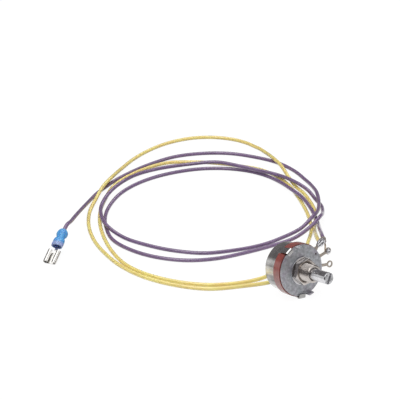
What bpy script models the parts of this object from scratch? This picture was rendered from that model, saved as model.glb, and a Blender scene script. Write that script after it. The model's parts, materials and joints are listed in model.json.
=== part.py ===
"""Wire-wound panel potentiometer with two hook-up leads, built in metres with +Z up.

The potentiometer lies on a table at z = 0, on the rear rim of its cover and one folded ear,
so that its shaft points along -Y and a little upwards. The pot_frame empty holds it: local Z
runs along the shaft, with z = 0 at the front face of the front plate.
"""

import bmesh
import bpy
from math import asin, atan2, cos, degrees, hypot, pi, radians, sin, tan
from mathutils import Matrix, Vector

MM = 0.001
GAP = 0.3
FIT = 0.28

# Front plate and the lugs bent forward from its rim, sizes in millimetres
PLATE_OVERHANG = 0.2
PLATE_THICKNESS = 0.9
PLATE_SPOT_RADIUS = 0.6
PLATE_SPOT_INSET = 1.9
PLATE_SPOT_ANGLE = 31.0
LUG_WIDTH = 3.0
LUG_REACH = 2.9
LUG_THICKNESS = 0.8
LUG_BEND = 0.8
LUG_INSET = 0.35
LUG_AXIS = 9.0
LUG_SPREAD = 86.0

# Bushing, hex nut and internal tooth lock washer
BUSHING_WALL = 1.585
BUSHING_LENGTH = 10.4
BUSHING_CHAMFER = 0.5
NECK_UNDERCUT = 0.36
BUSHING_FLANGE_WIDTH = 1.34
BUSHING_FLANGE_THICKNESS = 0.8
NUT_WALL = 1.59
NUT_THICKNESS = 3.0
NUT_TURN = 10.0
NUT_CHAMFER = 0.5
NUT_FACE_INSET = 0.1
WASHER_TOOTH = 1.39
WASHER_RING = 1.1
WASHER_THICKNESS = 0.8
WASHER_TEETH = 10

# Shaft, its retaining ring and its slotted tip
SHAFT_RADIUS = 3.175
SHAFT_REACH = 22.2
SHAFT_CHAMFER = 0.45
SLOT_WIDTH = 1.0
SLOT_DEPTH = 1.5
SLOT_ANGLE = 62.0
GROOVE_DEPTH = 0.7
GROOVE_WIDTH = 1.0
GROOVE_PLACE = 0.3
RING_WIDTH = 1.4
RING_THICKNESS = 0.4
RING_OPENING = 90.0
SEAT_DEPTH = 0.8
STAKE_RADIUS = 3.1
STAKE_LENGTH = 0.7
STAKE_TAPER = 0.4

# Phenolic base: a web behind the plate, a flange at the rim and a spigot inside the cover
BASE_OVERHANG = 1.0
BASE_FLANGE_DEPTH = 4.9
WEB_THICKNESS = 1.0
SPIGOT_LENGTH = 2.0
SPIGOT_WALL = 1.0
SKIRT_MARGIN = 0.4
STOP_CLEARANCE = 1.0
STOP_HALF_ANGLE = 14.0
STOP_LENGTH = 2.2
STOP_INSET = 0.4
NOTCH_DEPTH = 1.3

# Rear cover and its two folded ears
COVER_WALL = 0.5
COVER_LENGTH = 8.8
COVER_EDGE = 1.2
EAR_WIDTH = 3.8
EAR_THICKNESS = 0.6
EAR_BEND = 0.7
EAR_CLEARANCE = 0.35
EAR_LAP = 1.5
EAR_ROOT = 2.6
EAR_KNEE = 0.35
EAR_SPREAD = 108.5

# Terminals, rivets and the parts of the variable resistor
TERMINAL_AXIS = 12.2
TERMINAL_PITCH = 19.8
TERMINAL_WIDTH = 2.3
TERMINAL_NECK = 1.5
TERMINAL_THICKNESS = 0.5
TERMINAL_SPACING = 1.0
TERMINAL_STEP = 1.4
TERMINAL_TAPER = 1.0
EYELET_REACH = 7.6
EYELET_RADIUS = 1.9
EYELET_HOLE = 1.15
RIVET_MARGIN = 1.3
RIVET_SHANK = 0.5
RIVET_HEAD = 1.2
RIVET_HEAD_HEIGHT = 0.6
RIVET_BORE_FLOOR = 0.6
RIVET_SINK = 0.05
COLLECTOR_CLEARANCE = 0.825
COLLECTOR_WIDTH = 2.3
ELEMENT_THICKNESS = 1.0
ELEMENT_HEIGHT = 5.8
ELEMENT_GAP = 60.0
ELEMENT_TURNS = 60
ELEMENT_RIB = 0.12
ROTOR_RIM = 1.2
ROTOR_ARM_LAP = 0.7
ROTOR_ARM_HALF_ANGLE = 7.0
ROTOR_THICKNESS = 2.0
ROTOR_PLACE = 6.3
WIPER_CLEARANCE = 1.025
WIPER_RING = 1.8
LEAF_RISE = 0.6
LEAF_REACH = 1.2
WIPER_THICKNESS = 0.3
WIPER_WIDTH = 2.0
PADDLE_BEND = 0.4
PADDLE_RISE = 0.3

# Leads, solder joints and quick-connect receptacles
LEAD_RADIUS = 1.1
CONDUCTOR_RADIUS = 0.5
SOLDER_RADIUS = 1.6
SOLDER_HEIGHT = 0.95
SOLDER_ROUNDING = 0.3
SOLDER_STRETCH = 1.3
SLEEVE_LENGTH = 11.6
SLEEVE_ENTRY = 1.95
SLEEVE_RADIUS = 2.5
SLEEVE_LOBE = 0.85
SLEEVE_WALL = 0.55
LEAD_INSERT = 3.0
LEAD_END_GAP = 0.5
BARREL_RADIUS = 1.6
BARREL_BORE = 0.7
BARREL_LENGTH = 5.6
RECEPTACLE_LENGTH = 8.2
RECEPTACLE_SHEET = 0.4
ROLL_RADIUS = 1.15
ROLL_SPACING = 4.8
ROLL_END = 165.0
STRIP_HALF_WIDTH = 0.9
STRIP_LAP = 1.5
CONNECTOR_LENGTH = 22.7

FINE = 48
MEDIUM = 32
SMALL = 20

# Purple lead, in millimetres on the table, from the terminals to its receptacle
PURPLE_ROUTE = (
    (17.9, 10.1, 18.2), (18.9, 11.2, 19.8), (18.9, 12.3, 22.4), (21.4, 16.5, 22.5), (28.7, 26, 19.3),
    (38.3, 38, 13.9), (47.3, 49, 8.8), (57.1, 61.1, 3.9), (61.2, 68, 4.1), (69.3, 83.3, 3.8),
    (74.6, 97.1, 3.9), (76.9, 109.4, 3.8), (81.5, 125.7, 1.8), (81.7, 139.9, 1.2), (77.2, 152.5, 1.2),
    (68.3, 163.7, 1.2), (55.8, 172.2, 1.2), (41.1, 176.9, 1.2), (25.6, 178.3, 1.2), (10, 176.1, 1.2),
    (-4.7, 170.4, 1.2), (-18.4, 160.9, 1.2), (-30.2, 149.1, 1.2), (-39.4, 134.9, 1.3), (-45.8, 118.6, 1.2),
    (-45.2, 101.5, 1.2), (-39.3, 85.4, 1.2), (-28.2, 72, 1.2), (-13.1, 63.9, 1.2), (4.9, 60.3, 1.2),
    (22.1, 58.3, 1.4), (34.5, 55.1, 3.6), (46.4, 55, 7.6), (57.8, 60.4, 8.7), (68.1, 70.1, 4.6),
    (77.5, 81.8, 2.2), (82.2, 92.2, 1.2), (85.1, 103.5, 3.1), (85.1, 115.5, 4.4), (84.6, 129.9, 3.9),
    (80, 142.2, 4), (74.1, 154.2, 4.4), (66, 168.8, 4.4), (53.1, 180.6, 2.2), (36.5, 187.8, 1.2),
    (19.6, 187.3, 1.8), (2.8, 179.3, 3.8), (-10, 172.3, 3.9), (-22.5, 162.4, 3.9), (-32.5, 150.7, 3.8),
    (-40.6, 133.2, 4), (-39.3, 117.6, 1.4), (-34.4, 101.4, 1.2), (-26.6, 86.5, 1.2), (-15.2, 73.9, 1.2),
    (-0.1, 66.9, 1.2), (16.1, 63, 1.2), (30.5, 62.1, 2), (43.9, 61.3, 4.4), (53.3, 62.6, 8.3),
    (65, 71, 6.5), (75.3, 81.9, 5.2), (84.6, 94.4, 4.4), (91.8, 107.2, 2.6), (97.2, 120.4, 1.2),
    (100.7, 135.5, 1.2), (100.6, 151.5, 1.2), (95.1, 166.9, 1.2), (85.8, 181.5, 1.2), (71.8, 191.9, 1.2),
    (55.3, 197.6, 1.2), (37.1, 197.2, 1.2), (19.8, 193.8, 1.2), (4.3, 188.9, 1.2), (-8.3, 183, 1.2),
    (-17.4, 177.9, 1.4), (-28.5, 167.9, 3.7), (-41.3, 155.6, 6.9), (-54.1, 143.1, 10.1), (-63.7, 133.7, 12.2),
    (-70.1, 127.8, 14), (-73.1, 126, 12.4), (-75.6, 124.4, 10.8),
)
# Yellow lead, from the terminals through its two loops to the receptacle behind the case
YELLOW_ROUTE = (
    (13.9, 10.4, 23.9), (15.8, 14, 23.4), (20, 20, 21.8), (27.1, 29, 18.2), (39.9, 44.1, 10.5),
    (51.2, 57.4, 4.2), (59.1, 66.2, 1.2), (65.7, 73.5, 1.2), (71.8, 81.4, 1.2), (77.1, 91, 1.2),
    (82.9, 104.5, 1.2), (85.7, 115.6, 1.2), (90.4, 128.4, 2.4), (95.3, 141, 3.9), (98.4, 152.2, 4.3),
    (104.3, 167.6, 1.9), (106.6, 182, 1.2), (103.5, 196.9, 1.2), (95.1, 209, 1.2), (82.4, 216.7, 1.2),
    (66.2, 219.1, 1.2), (49.6, 216.5, 1.2), (33.2, 210.5, 1.2), (16.4, 200.5, 1.8), (1.9, 189.2, 3.9),
    (-10.4, 180.6, 3.9), (-23, 169.4, 3.2), (-35.8, 157.5, 1.4), (-46.9, 141.3, 1.2), (-54.9, 123.6, 1.2),
    (-59.3, 106.5, 1.2), (-61.3, 88.8, 1.2), (-59.3, 70.4, 1.2), (-52, 52.5, 1.2), (-39.9, 37.3, 1.2),
    (-23.2, 28.8, 1.2), (-6.7, 23.5, 1.2), (10.3, 26, 1.2), (25.3, 35.5, 1.2), (38, 48, 1.2),
    (51.6, 60.6, 1.2), (61.8, 74.5, 1.2), (70.8, 90.3, 1.2), (78.2, 105.9, 1.2), (84, 120.6, 1.2),
    (86.6, 136.4, 1.2), (84.8, 149.5, 1.2), (78.5, 161, 1.2), (70, 173.2, 1.2), (58.6, 184.2, 1.2),
    (45.4, 192.4, 1.2), (28.8, 192.7, 1.2), (12.9, 189, 1.2), (-2.3, 181.8, 1.2), (-16.3, 169.6, 1.2),
    (-28.6, 156.7, 1.2), (-39.1, 141.7, 1.2), (-47.5, 125.4, 1.2), (-54.1, 108.2, 1.2), (-58.1, 89.4, 1.2),
    (-56.3, 72.1, 1.2), (-49, 55.3, 1.2), (-36.9, 40.9, 1.2), (-21.4, 32.6, 1.2), (-9.2, 29.5, 1.6),
    (0.8, 30.5, 2.1), (7.3, 34.1, 2.5), (9.5, 36, 2.55),
)
LEAD_POINTS = 80
TAIL_LENGTH = 10.0
TAIL_POINTS = 4
# Bare conductor ends, from each lead to its terminal
PURPLE_CONDUCTOR = ((17.55, 9.7, 17.75), (17.15, 8.95, 17.9), (16.9, 8.45, 18.5))
YELLOW_CONDUCTOR = ((13.65, 9.95, 24.1), (13.65, 9.7, 24.5), (13.7, 9.6, 25.0))
# Each receptacle points from the end of its lead along this heading, nose down by this slope
PURPLE_HEADING = -148.1
PURPLE_SLOPE = 29.0
YELLOW_HEADING = 42.0
YELLOW_SLOPE = 0.0

# Radii worked out from the shaft outwards, each from what it seats on or clears
THREAD_RADIUS = SHAFT_RADIUS + BUSHING_WALL
BUSHING_NECK = THREAD_RADIUS - NECK_UNDERCUT
BUSHING_FLANGE = THREAD_RADIUS + BUSHING_FLANGE_WIDTH
NUT_ACROSS_FLATS = (THREAD_RADIUS + NUT_WALL) * 2
WASHER_RADIUS = THREAD_RADIUS + GAP + WASHER_TOOTH + WASHER_RING
RING_INNER = SHAFT_RADIUS - GROOVE_DEPTH + GAP
RING_OUTER = RING_INNER + RING_WIDTH
WIPER_INNER = SHAFT_RADIUS + WIPER_CLEARANCE
WIPER_OUTER = WIPER_INNER + WIPER_RING
ROTOR_RADIUS = WIPER_OUTER + ROTOR_RIM
STOP_INNER_RADIUS = ROTOR_RADIUS + STOP_CLEARANCE
ROTOR_ARM_RADIUS = STOP_INNER_RADIUS + ROTOR_ARM_LAP
COLLECTOR_INNER = RING_OUTER + COLLECTOR_CLEARANCE
COLLECTOR_OUTER = COLLECTOR_INNER + COLLECTOR_WIDTH
TERMINAL_INNER_END = COLLECTOR_OUTER + TERMINAL_SPACING
RIVET_PLACE = TERMINAL_INNER_END + RIVET_MARGIN
SKIRT_INNER = RIVET_PLACE + RIVET_HEAD + SKIRT_MARGIN
ELEMENT_OUTER = SKIRT_INNER - GAP
ELEMENT_INNER = ELEMENT_OUTER - ELEMENT_THICKNESS
WIPER_REACH = ELEMENT_INNER - GAP
SPIGOT_RADIUS = SKIRT_INNER + SPIGOT_WALL
COVER_RADIUS = SPIGOT_RADIUS + GAP + COVER_WALL
BASE_RADIUS = COVER_RADIUS + BASE_OVERHANG
PLATE_RADIUS = BASE_RADIUS + PLATE_OVERHANG
PLATE_SPOT_PLACE = PLATE_RADIUS - PLATE_SPOT_INSET
EAR_FOLD_RADIUS = PLATE_RADIUS + EAR_CLEARANCE + EAR_THICKNESS
EAR_TIP_RADIUS = PLATE_RADIUS - EAR_LAP
EYELET_PLACE = BASE_RADIUS + EYELET_REACH

# Levels along the pot's own axis, worked out from the thicknesses
PLATE_BACK = -PLATE_THICKNESS
BASE_FRONT = PLATE_BACK - GAP
WEB_BACK = BASE_FRONT - WEB_THICKNESS
FLANGE_BACK = BASE_FRONT - BASE_FLANGE_DEPTH
SPIGOT_END = FLANGE_BACK - SPIGOT_LENGTH
COVER_FRONT = FLANGE_BACK - GAP
COVER_BACK = COVER_FRONT - COVER_LENGTH
BUSHING_BACK = BASE_FRONT - BUSHING_FLANGE_THICKNESS
TERMINAL_FRONT = WEB_BACK - GAP
TERMINAL_LEVEL = TERMINAL_FRONT - TERMINAL_THICKNESS / 2
TERMINAL_BACK = TERMINAL_FRONT - TERMINAL_THICKNESS
RIVET_BACK = TERMINAL_BACK - GAP - RIVET_HEAD_HEIGHT
GROOVE_FRONT = BUSHING_BACK - GROOVE_PLACE
GROOVE_BACK = GROOVE_FRONT - GROOVE_WIDTH
ROTOR_BACK = -ROTOR_PLACE - ROTOR_THICKNESS
WIPER_LEVEL = -ROTOR_PLACE + GAP + WIPER_THICKNESS / 2
WASHER_FRONT = GAP + WASHER_THICKNESS
NUT_BACK = WASHER_FRONT + GAP
OPPOSITE = TERMINAL_AXIS + 180.0
EAR_ANGLES = (TERMINAL_AXIS + EAR_SPREAD, TERMINAL_AXIS - EAR_SPREAD)
LUG_ANGLES = (LUG_AXIS + LUG_SPREAD, LUG_AXIS - LUG_SPREAD)
TERMINAL_ANGLES = tuple(TERMINAL_AXIS + step * TERMINAL_PITCH for step in (1, 0, -1))
EAR_FOLD = EAR_FOLD_RADIUS - EAR_THICKNESS / 2
EAR_ROOT_RADIUS = BASE_RADIUS - NOTCH_DEPTH + GAP + EAR_THICKNESS / 2 + EAR_KNEE
EAR_ROOT_LEVEL = COVER_FRONT + GAP


def rest_tilt():
    """Angle of the shaft above the table: the line that touches the cover's rim and one ear."""
    lean = radians(90.0 + EAR_ANGLES[1])
    strap = atan2(EAR_FOLD - EAR_ROOT_RADIUS, PLATE_BACK - EAR_ROOT_LEVEL)
    ear_drop = (EAR_FOLD_RADIUS - EAR_BEND - EAR_THICKNESS / 2) * cos(lean)
    ear_drop += EAR_WIDTH / 2 * abs(sin(lean))
    ear_level = PLATE_BACK + EAR_BEND * tan(strap / 2)
    rise = ear_drop - (COVER_RADIUS - COVER_EDGE)
    run = ear_level - (COVER_BACK + COVER_EDGE)
    bend = EAR_BEND + EAR_THICKNESS / 2
    return atan2(rise, run) + asin((bend - COVER_EDGE) / hypot(rise, run))


TILT = rest_tilt()
PLATE_HEIGHT = COVER_EDGE + (COVER_RADIUS - COVER_EDGE) * cos(TILT) - (COVER_BACK + COVER_EDGE) * sin(TILT)
EYELET_TIP = EYELET_PLACE * cos(radians(TERMINAL_AXIS - TERMINAL_PITCH)) + EYELET_RADIUS
FRONT_REACH = SHAFT_REACH * cos(TILT) + (SHAFT_RADIUS - SHAFT_CHAMFER) * sin(TILT)
REAR_REACH = COVER_EDGE + (COVER_RADIUS - COVER_EDGE) * sin(TILT) - (COVER_BACK + COVER_EDGE) * cos(TILT)
POT_X = (PLATE_RADIUS - EYELET_TIP) / 2
POT_Y = (FRONT_REACH - REAR_REACH) / 2


def clear_scene():
    for item in list(bpy.data.objects):
        bpy.data.objects.remove(item, do_unlink=True)


def new_collection(name):
    collection = bpy.data.collections.new(name)
    bpy.context.scene.collection.children.link(collection)
    return collection


def material(name, colour, roughness, metallic=0.0):
    mat = bpy.data.materials.new(name)
    mat.use_nodes = True
    shader = mat.node_tree.nodes["Principled BSDF"]
    shader.inputs["Base Color"].default_value = (*colour, 1.0)
    shader.inputs["Roughness"].default_value = roughness
    shader.inputs["Metallic"].default_value = metallic
    mat.diffuse_color = (*colour, 1.0)
    return mat


clear_scene()
PARTS = new_collection("potentiometer")
CUTTERS = new_collection("cutters")
MATERIALS = {
    "zinc": material("zinc_plate", (0.36, 0.37, 0.39), 0.5, 0.9),
    "nickel": material("nickel_brass", (0.55, 0.49, 0.42), 0.3, 1.0),
    "steel": material("steel", (0.42, 0.42, 0.43), 0.3, 1.0),
    "cover": material("bright_cover", (0.62, 0.62, 0.63), 0.25, 1.0),
    "phenolic": material("phenolic", (0.33, 0.07, 0.05), 0.6),
    "tinned": material("tinned_brass", (0.66, 0.65, 0.62), 0.3, 1.0),
    "winding": material("resistance_wire", (0.35, 0.27, 0.18), 0.4, 0.8),
    "moulding": material("rotor_moulding", (0.05, 0.04, 0.035), 0.5),
    "solder": material("solder", (0.7, 0.7, 0.7), 0.25, 1.0),
    "copper": material("tinned_copper", (0.6, 0.5, 0.4), 0.35, 1.0),
    "purple": material("purple_insulation", (0.16, 0.09, 0.19), 0.4),
    "yellow": material("yellow_insulation", (0.8, 0.58, 0.1), 0.4),
    "sleeve": material("blue_sleeve", (0.06, 0.3, 0.75), 0.35),
}


def place(item, finish, parent, collection=PARTS):
    collection.objects.link(item)
    item.data.materials.clear()
    item.data.materials.append(MATERIALS[finish])
    item.parent = parent
    return item


def hide(item):
    item.hide_render = True
    item.display_type = "WIRE"
    return item


def empty(name, location, rotation, parent=None):
    frame = bpy.data.objects.new(name, None)
    PARTS.objects.link(frame)
    frame.parent = parent
    frame.location = location
    frame.rotation_euler = rotation
    return frame


def circle(radius, segments, centre=(0.0, 0.0)):
    """Points of a circle, anticlockwise from +X."""
    return arc(radius, 0.0, 360.0 - 360.0 / segments, segments - 1, centre)


def arc(radius, start, end, steps, centre=(0.0, 0.0)):
    """Points of an arc between two angles in degrees, both ends included."""
    angles = [radians(start + (end - start) * step / steps) for step in range(steps + 1)]
    return [(centre[0] + radius * cos(a), centre[1] + radius * sin(a)) for a in angles]


def smooth_shading(mesh):
    mesh.shade_smooth()
    mesh.set_sharp_from_angle(angle=radians(35.0))


def turned(name, profile, finish, parent, segments=MEDIUM, closed=False, collection=PARTS):
    """A turned piece. The profile of (radius, z) runs top to bottom down its outer side."""
    mesh = bpy.data.meshes.new(name)
    edges = [(i, i + 1) for i in range(len(profile) - 1)]
    if closed:
        edges.append((len(profile) - 1, 0))
    mesh.from_pydata([(r * MM, 0.0, z * MM) for r, z in profile], edges, [])
    item = place(bpy.data.objects.new(name, mesh), finish, parent, collection)
    screw = item.modifiers.new("turn", "SCREW")
    screw.axis = "Z"
    screw.angle = 2 * pi
    screw.steps = screw.render_steps = segments
    screw.use_merge_vertices = True
    screw.merge_threshold = 0.00001
    screw.use_smooth_shade = True
    return item


def flat(name, outlines, thickness, finish, parent, level=0.0, turn=0.0, collection=PARTS):
    """A flat piece cut to its outlines, the first outer, any others holes, about z = level."""
    curve = bpy.data.curves.new(name, "CURVE")
    curve.dimensions = "2D"
    curve.fill_mode = "BOTH"
    curve.extrude = thickness / 2 * MM
    for outline in outlines:
        spline = curve.splines.new("POLY")
        spline.points.add(len(outline) - 1)
        for point, (x, y) in zip(spline.points, outline):
            point.co = (x * MM, y * MM, 0.0, 1.0)
        spline.use_cyclic_u = True
    draft = bpy.data.objects.new(name + "_outline", curve)
    bpy.context.scene.collection.objects.link(draft)
    item = place(bpy.data.objects.new(name, meshed(draft)), finish, parent, collection)
    bpy.data.objects.remove(draft, do_unlink=True)
    item.location = (0.0, 0.0, level * MM)
    item.rotation_euler = (0.0, 0.0, radians(turn))
    smooth_shading(item.data)
    return item


def meshed(draft):
    """The closed mesh of a curve object, with its caps welded."""
    graph = bpy.context.evaluated_depsgraph_get()
    mesh = bpy.data.meshes.new_from_object(draft.evaluated_get(graph))
    work = bmesh.new()
    work.from_mesh(mesh)
    bmesh.ops.remove_doubles(work, verts=work.verts, dist=0.000001)
    bmesh.ops.recalc_face_normals(work, faces=work.faces)
    work.to_mesh(mesh)
    work.free()
    return mesh


def rounded_path(corners, radius, steps=4):
    """An open path through the corners, with each inner corner turned on an arc."""
    path = [Vector(corners[0])]
    for before, corner, after in zip(corners, corners[1:], corners[2:]):
        corner = Vector(corner)
        inward = (Vector(before) - corner).normalized()
        outward = (Vector(after) - corner).normalized()
        half = inward.angle(outward) / 2
        reach = radius * cos(half) / sin(half)
        start = corner + inward * reach
        end = corner + outward * reach
        centre = corner + (inward + outward).normalized() * (radius / sin(half))
        for step in range(steps + 1):
            point = start.lerp(end, step / steps)
            path.append(centre + (point - centre).normalized() * radius)
    path.append(Vector(corners[-1]))
    return path


def strip_outline(path, thickness):
    """The outline of a folded sheet whose middle follows the path."""
    left, right = [], []
    for index, point in enumerate(path):
        before = path[max(index - 1, 0)]
        after = path[min(index + 1, len(path) - 1)]
        along = (after - before).normalized()
        side = Vector((-along.y, along.x)) * (thickness / 2)
        left.append(tuple(point + side))
        right.append(tuple(point - side))
    return left + right[::-1]


def radial_strip(name, path, thickness, width, angle, finish, parent, collection=PARTS):
    """A folded strip drawn in radius and z, standing in the plane at the given angle."""
    item = flat(name, [strip_outline(path, thickness)], width, finish, parent, collection=collection)
    item.rotation_euler = (radians(90.0), 0.0, radians(angle))
    return item


def block(name, size, centre, parent, turn=0.0):
    """A box used as a cutter, turned about the Z axis of its parent."""
    mesh = bpy.data.meshes.new(name)
    work = bmesh.new()
    bmesh.ops.create_cube(work, size=1.0, matrix=Matrix.Diagonal((*[s * MM for s in size], 1.0)))
    bmesh.ops.translate(work, verts=work.verts, vec=Vector(centre) * MM)
    work.to_mesh(mesh)
    work.free()
    item = place(bpy.data.objects.new(name, mesh), "steel", parent, CUTTERS)
    item.rotation_euler = (0.0, 0.0, radians(turn))
    return item


def boolean(item, tool, operation):
    step = item.modifiers.new(operation.lower(), "BOOLEAN")
    step.operation = operation
    step.solver = "EXACT"
    step.object = hide(tool)
    return item


def cut(item, tool):
    return boolean(item, tool, "DIFFERENCE")


def join(item, tool):
    return boolean(item, tool, "UNION")


def smooth_route(points, count):
    """Points on a smooth curve through the route, closer together near its far end."""
    knots = [Vector(point) for point in points]
    knots = [knots[0] * 2 - knots[1]] + knots + [knots[-1] * 2 - knots[-2]]
    fine = []
    for a, b, c, d in zip(knots, knots[1:], knots[2:], knots[3:]):
        for step in range(12):
            t = step / 12
            fine.append(
                (b * 2 + (c - a) * t + (a * 2 - b * 5 + c * 4 - d) * t**2 + (b * 3 - a - c * 3 + d) * t**3) / 2
            )
    fine.append(knots[-2])
    reach = [0.0]
    for here, there in zip(fine, fine[1:]):
        reach.append(reach[-1] + (there - here).length)
    steps = count - 1 - TAIL_POINTS
    stops = [(reach[-1] - TAIL_LENGTH) * step / steps for step in range(steps)]
    stops += [reach[-1] - TAIL_LENGTH * step / TAIL_POINTS for step in range(TAIL_POINTS, -1, -1)]
    route = []
    index = 0
    for wanted in stops:
        while index < len(reach) - 2 and reach[index + 1] < wanted:
            index += 1
        share = (wanted - reach[index]) / (reach[index + 1] - reach[index])
        point = fine[index].lerp(fine[index + 1], share)
        point.z = max(point.z, LEAD_RADIUS)
        route.append(point)
    return route


def wire(name, points, radius, finish):
    """A round wire along the points, with filled ends."""
    curve = bpy.data.curves.new(name, "CURVE")
    curve.dimensions = "3D"
    curve.bevel_depth = radius * MM
    curve.bevel_resolution = 2
    curve.use_fill_caps = True
    spline = curve.splines.new("POLY")
    spline.points.add(len(points) - 1)
    for knot, point in zip(spline.points, points):
        knot.co = (*(Vector(point) * MM), 1.0)
    return place(bpy.data.objects.new(name, curve), finish, None)


def build_front_plate(pot):
    spot = radians(PLATE_SPOT_ANGLE)
    spot_centre = (PLATE_SPOT_PLACE * cos(spot), PLATE_SPOT_PLACE * sin(spot))
    holes = [circle(BUSHING_NECK + GAP, MEDIUM), circle(PLATE_SPOT_RADIUS, 12, spot_centre)]
    plate = flat(
        "front_plate", [circle(PLATE_RADIUS, FINE)] + holes, PLATE_THICKNESS, "zinc", pot, PLATE_BACK / 2
    )
    middle = PLATE_BACK / 2
    stand = PLATE_RADIUS - LUG_THICKNESS / 2 - LUG_INSET
    path = rounded_path([(stand - LUG_WIDTH, middle), (stand, middle), (stand, LUG_REACH)], LUG_BEND)
    for angle in LUG_ANGLES:
        lug = radial_strip("locating_lug", path, LUG_THICKNESS, LUG_WIDTH, angle, "zinc", pot, CUTTERS)
        join(plate, lug)


def build_bushing(pot):
    bore = SHAFT_RADIUS + FIT
    turned(
        "bushing",
        [
            (THREAD_RADIUS - BUSHING_CHAMFER, BUSHING_LENGTH),
            (THREAD_RADIUS, BUSHING_LENGTH - BUSHING_CHAMFER),
            (THREAD_RADIUS, GAP),
            (BUSHING_NECK, GAP),
            (BUSHING_NECK, BASE_FRONT),
            (BUSHING_FLANGE, BASE_FRONT),
            (BUSHING_FLANGE, BUSHING_BACK),
            (bore, BUSHING_BACK),
            (bore, BUSHING_LENGTH),
        ],
        "nickel",
        pot,
        closed=True,
    )


def build_lock_washer(pot):
    inner = THREAD_RADIUS + GAP
    root = WASHER_RADIUS - WASHER_RING
    pitch = 360.0 / WASHER_TEETH
    teeth = []
    for tooth in range(WASHER_TEETH):
        start = tooth * pitch
        teeth += arc(inner, start, start + pitch * 0.45, 3)
        teeth += arc(root, start + pitch * 0.55, start + pitch * 0.9, 3)
    outlines = [circle(WASHER_RADIUS, MEDIUM), teeth]
    flat("lock_washer", outlines, WASHER_THICKNESS, "steel", pot, GAP + WASHER_THICKNESS / 2)


def build_hex_nut(pot):
    corner = NUT_ACROSS_FLATS / 2 / cos(radians(30.0))
    level = NUT_BACK + NUT_THICKNESS / 2
    hexagon = circle(corner, 6)
    bore = circle(THREAD_RADIUS + GAP, MEDIUM)
    nut = flat("hex_nut", [hexagon, bore], NUT_THICKNESS, "nickel", pot, level, NUT_TURN)
    rim = NUT_ACROSS_FLATS / 2 - NUT_FACE_INSET
    drop = (corner + 1.0 - rim) * NUT_CHAMFER
    over = 1.0
    cone = turned(
        "nut_chamfer",
        [
            (0.0, NUT_BACK + NUT_THICKNESS),
            (rim, NUT_BACK + NUT_THICKNESS),
            (corner + 1.0, NUT_BACK + NUT_THICKNESS - drop),
            (corner + 1.0, NUT_BACK - over),
            (0.0, NUT_BACK - over),
        ],
        "nickel",
        pot,
        collection=CUTTERS,
    )
    boolean(nut, cone, "INTERSECT")


def build_shaft(spindle):
    groove = SHAFT_RADIUS - GROOVE_DEPTH
    seat = SHAFT_RADIUS - SEAT_DEPTH
    shoulder = -ROTOR_PLACE + GAP
    stake = ROTOR_BACK - GAP
    shaft = turned(
        "shaft",
        [
            (0.0, SHAFT_REACH),
            (SHAFT_RADIUS - SHAFT_CHAMFER, SHAFT_REACH),
            (SHAFT_RADIUS, SHAFT_REACH - SHAFT_CHAMFER),
            (SHAFT_RADIUS, GROOVE_FRONT),
            (groove, GROOVE_FRONT),
            (groove, GROOVE_BACK),
            (SHAFT_RADIUS, GROOVE_BACK),
            (SHAFT_RADIUS, shoulder),
            (seat, shoulder),
            (seat, stake),
            (STAKE_RADIUS, stake),
            (STAKE_RADIUS - STAKE_TAPER, stake - STAKE_LENGTH),
            (0.0, stake - STAKE_LENGTH),
        ],
        "steel",
        spindle,
    )
    over = 2.0
    size = (SHAFT_RADIUS * 2 + over, SLOT_WIDTH, SLOT_DEPTH + over)
    centre = (0.0, 0.0, SHAFT_REACH - SLOT_DEPTH + size[2] / 2)
    cut(shaft, block("tip_slot", size, centre, spindle, SLOT_ANGLE))


def build_retaining_ring(spindle):
    half = RING_OPENING / 2
    outline = arc(RING_OUTER, half, 360.0 - half, 24) + arc(RING_INNER, 360.0 - half, half, 24)
    level = (GROOVE_FRONT + GROOVE_BACK) / 2
    flat("retaining_ring", [outline], RING_THICKNESS, "steel", spindle, level, OPPOSITE)


def build_base(pot):
    hole = BUSHING_FLANGE + GAP
    base = turned(
        "phenolic_base",
        [
            (BASE_RADIUS, BASE_FRONT),
            (BASE_RADIUS, FLANGE_BACK),
            (SPIGOT_RADIUS, FLANGE_BACK),
            (SPIGOT_RADIUS, SPIGOT_END),
            (SKIRT_INNER, SPIGOT_END),
            (SKIRT_INNER, WEB_BACK),
            (hole, WEB_BACK),
            (hole, BASE_FRONT),
        ],
        "phenolic",
        pot,
        segments=FINE,
        closed=True,
    )
    outer = (SKIRT_INNER + SPIGOT_RADIUS) / 2
    half = STOP_HALF_ANGLE
    sector = arc(outer, -half, half, 6) + arc(STOP_INNER_RADIUS, half, -half, 6)
    level = SPIGOT_END + STOP_INSET + STOP_LENGTH / 2
    stop = flat("stop_block", [sector], STOP_LENGTH, "phenolic", pot, level, TERMINAL_AXIS, CUTTERS)
    join(base, stop)
    over = 1.0
    for angle in TERMINAL_ANGLES:
        radial = BASE_RADIUS + over - SKIRT_INNER + over
        high = WEB_BACK - TERMINAL_BACK + GAP
        size = (radial, TERMINAL_WIDTH + 2 * GAP, high)
        centre = (SKIRT_INNER - over + radial / 2, 0.0, WEB_BACK - high / 2)
        cut(base, block("terminal_slot", size, centre, pot, angle))
        cut(base, rivet_hole(pot, angle))
    notch_floor = BASE_RADIUS - NOTCH_DEPTH
    for angle in EAR_ANGLES:
        size = (NOTCH_DEPTH + over, EAR_WIDTH + 2 * GAP, BASE_FLANGE_DEPTH + 2 * over)
        centre = (notch_floor + size[0] / 2, 0.0, BASE_FRONT - BASE_FLANGE_DEPTH / 2)
        cut(base, block("ear_notch", size, centre, pot, angle))


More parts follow.
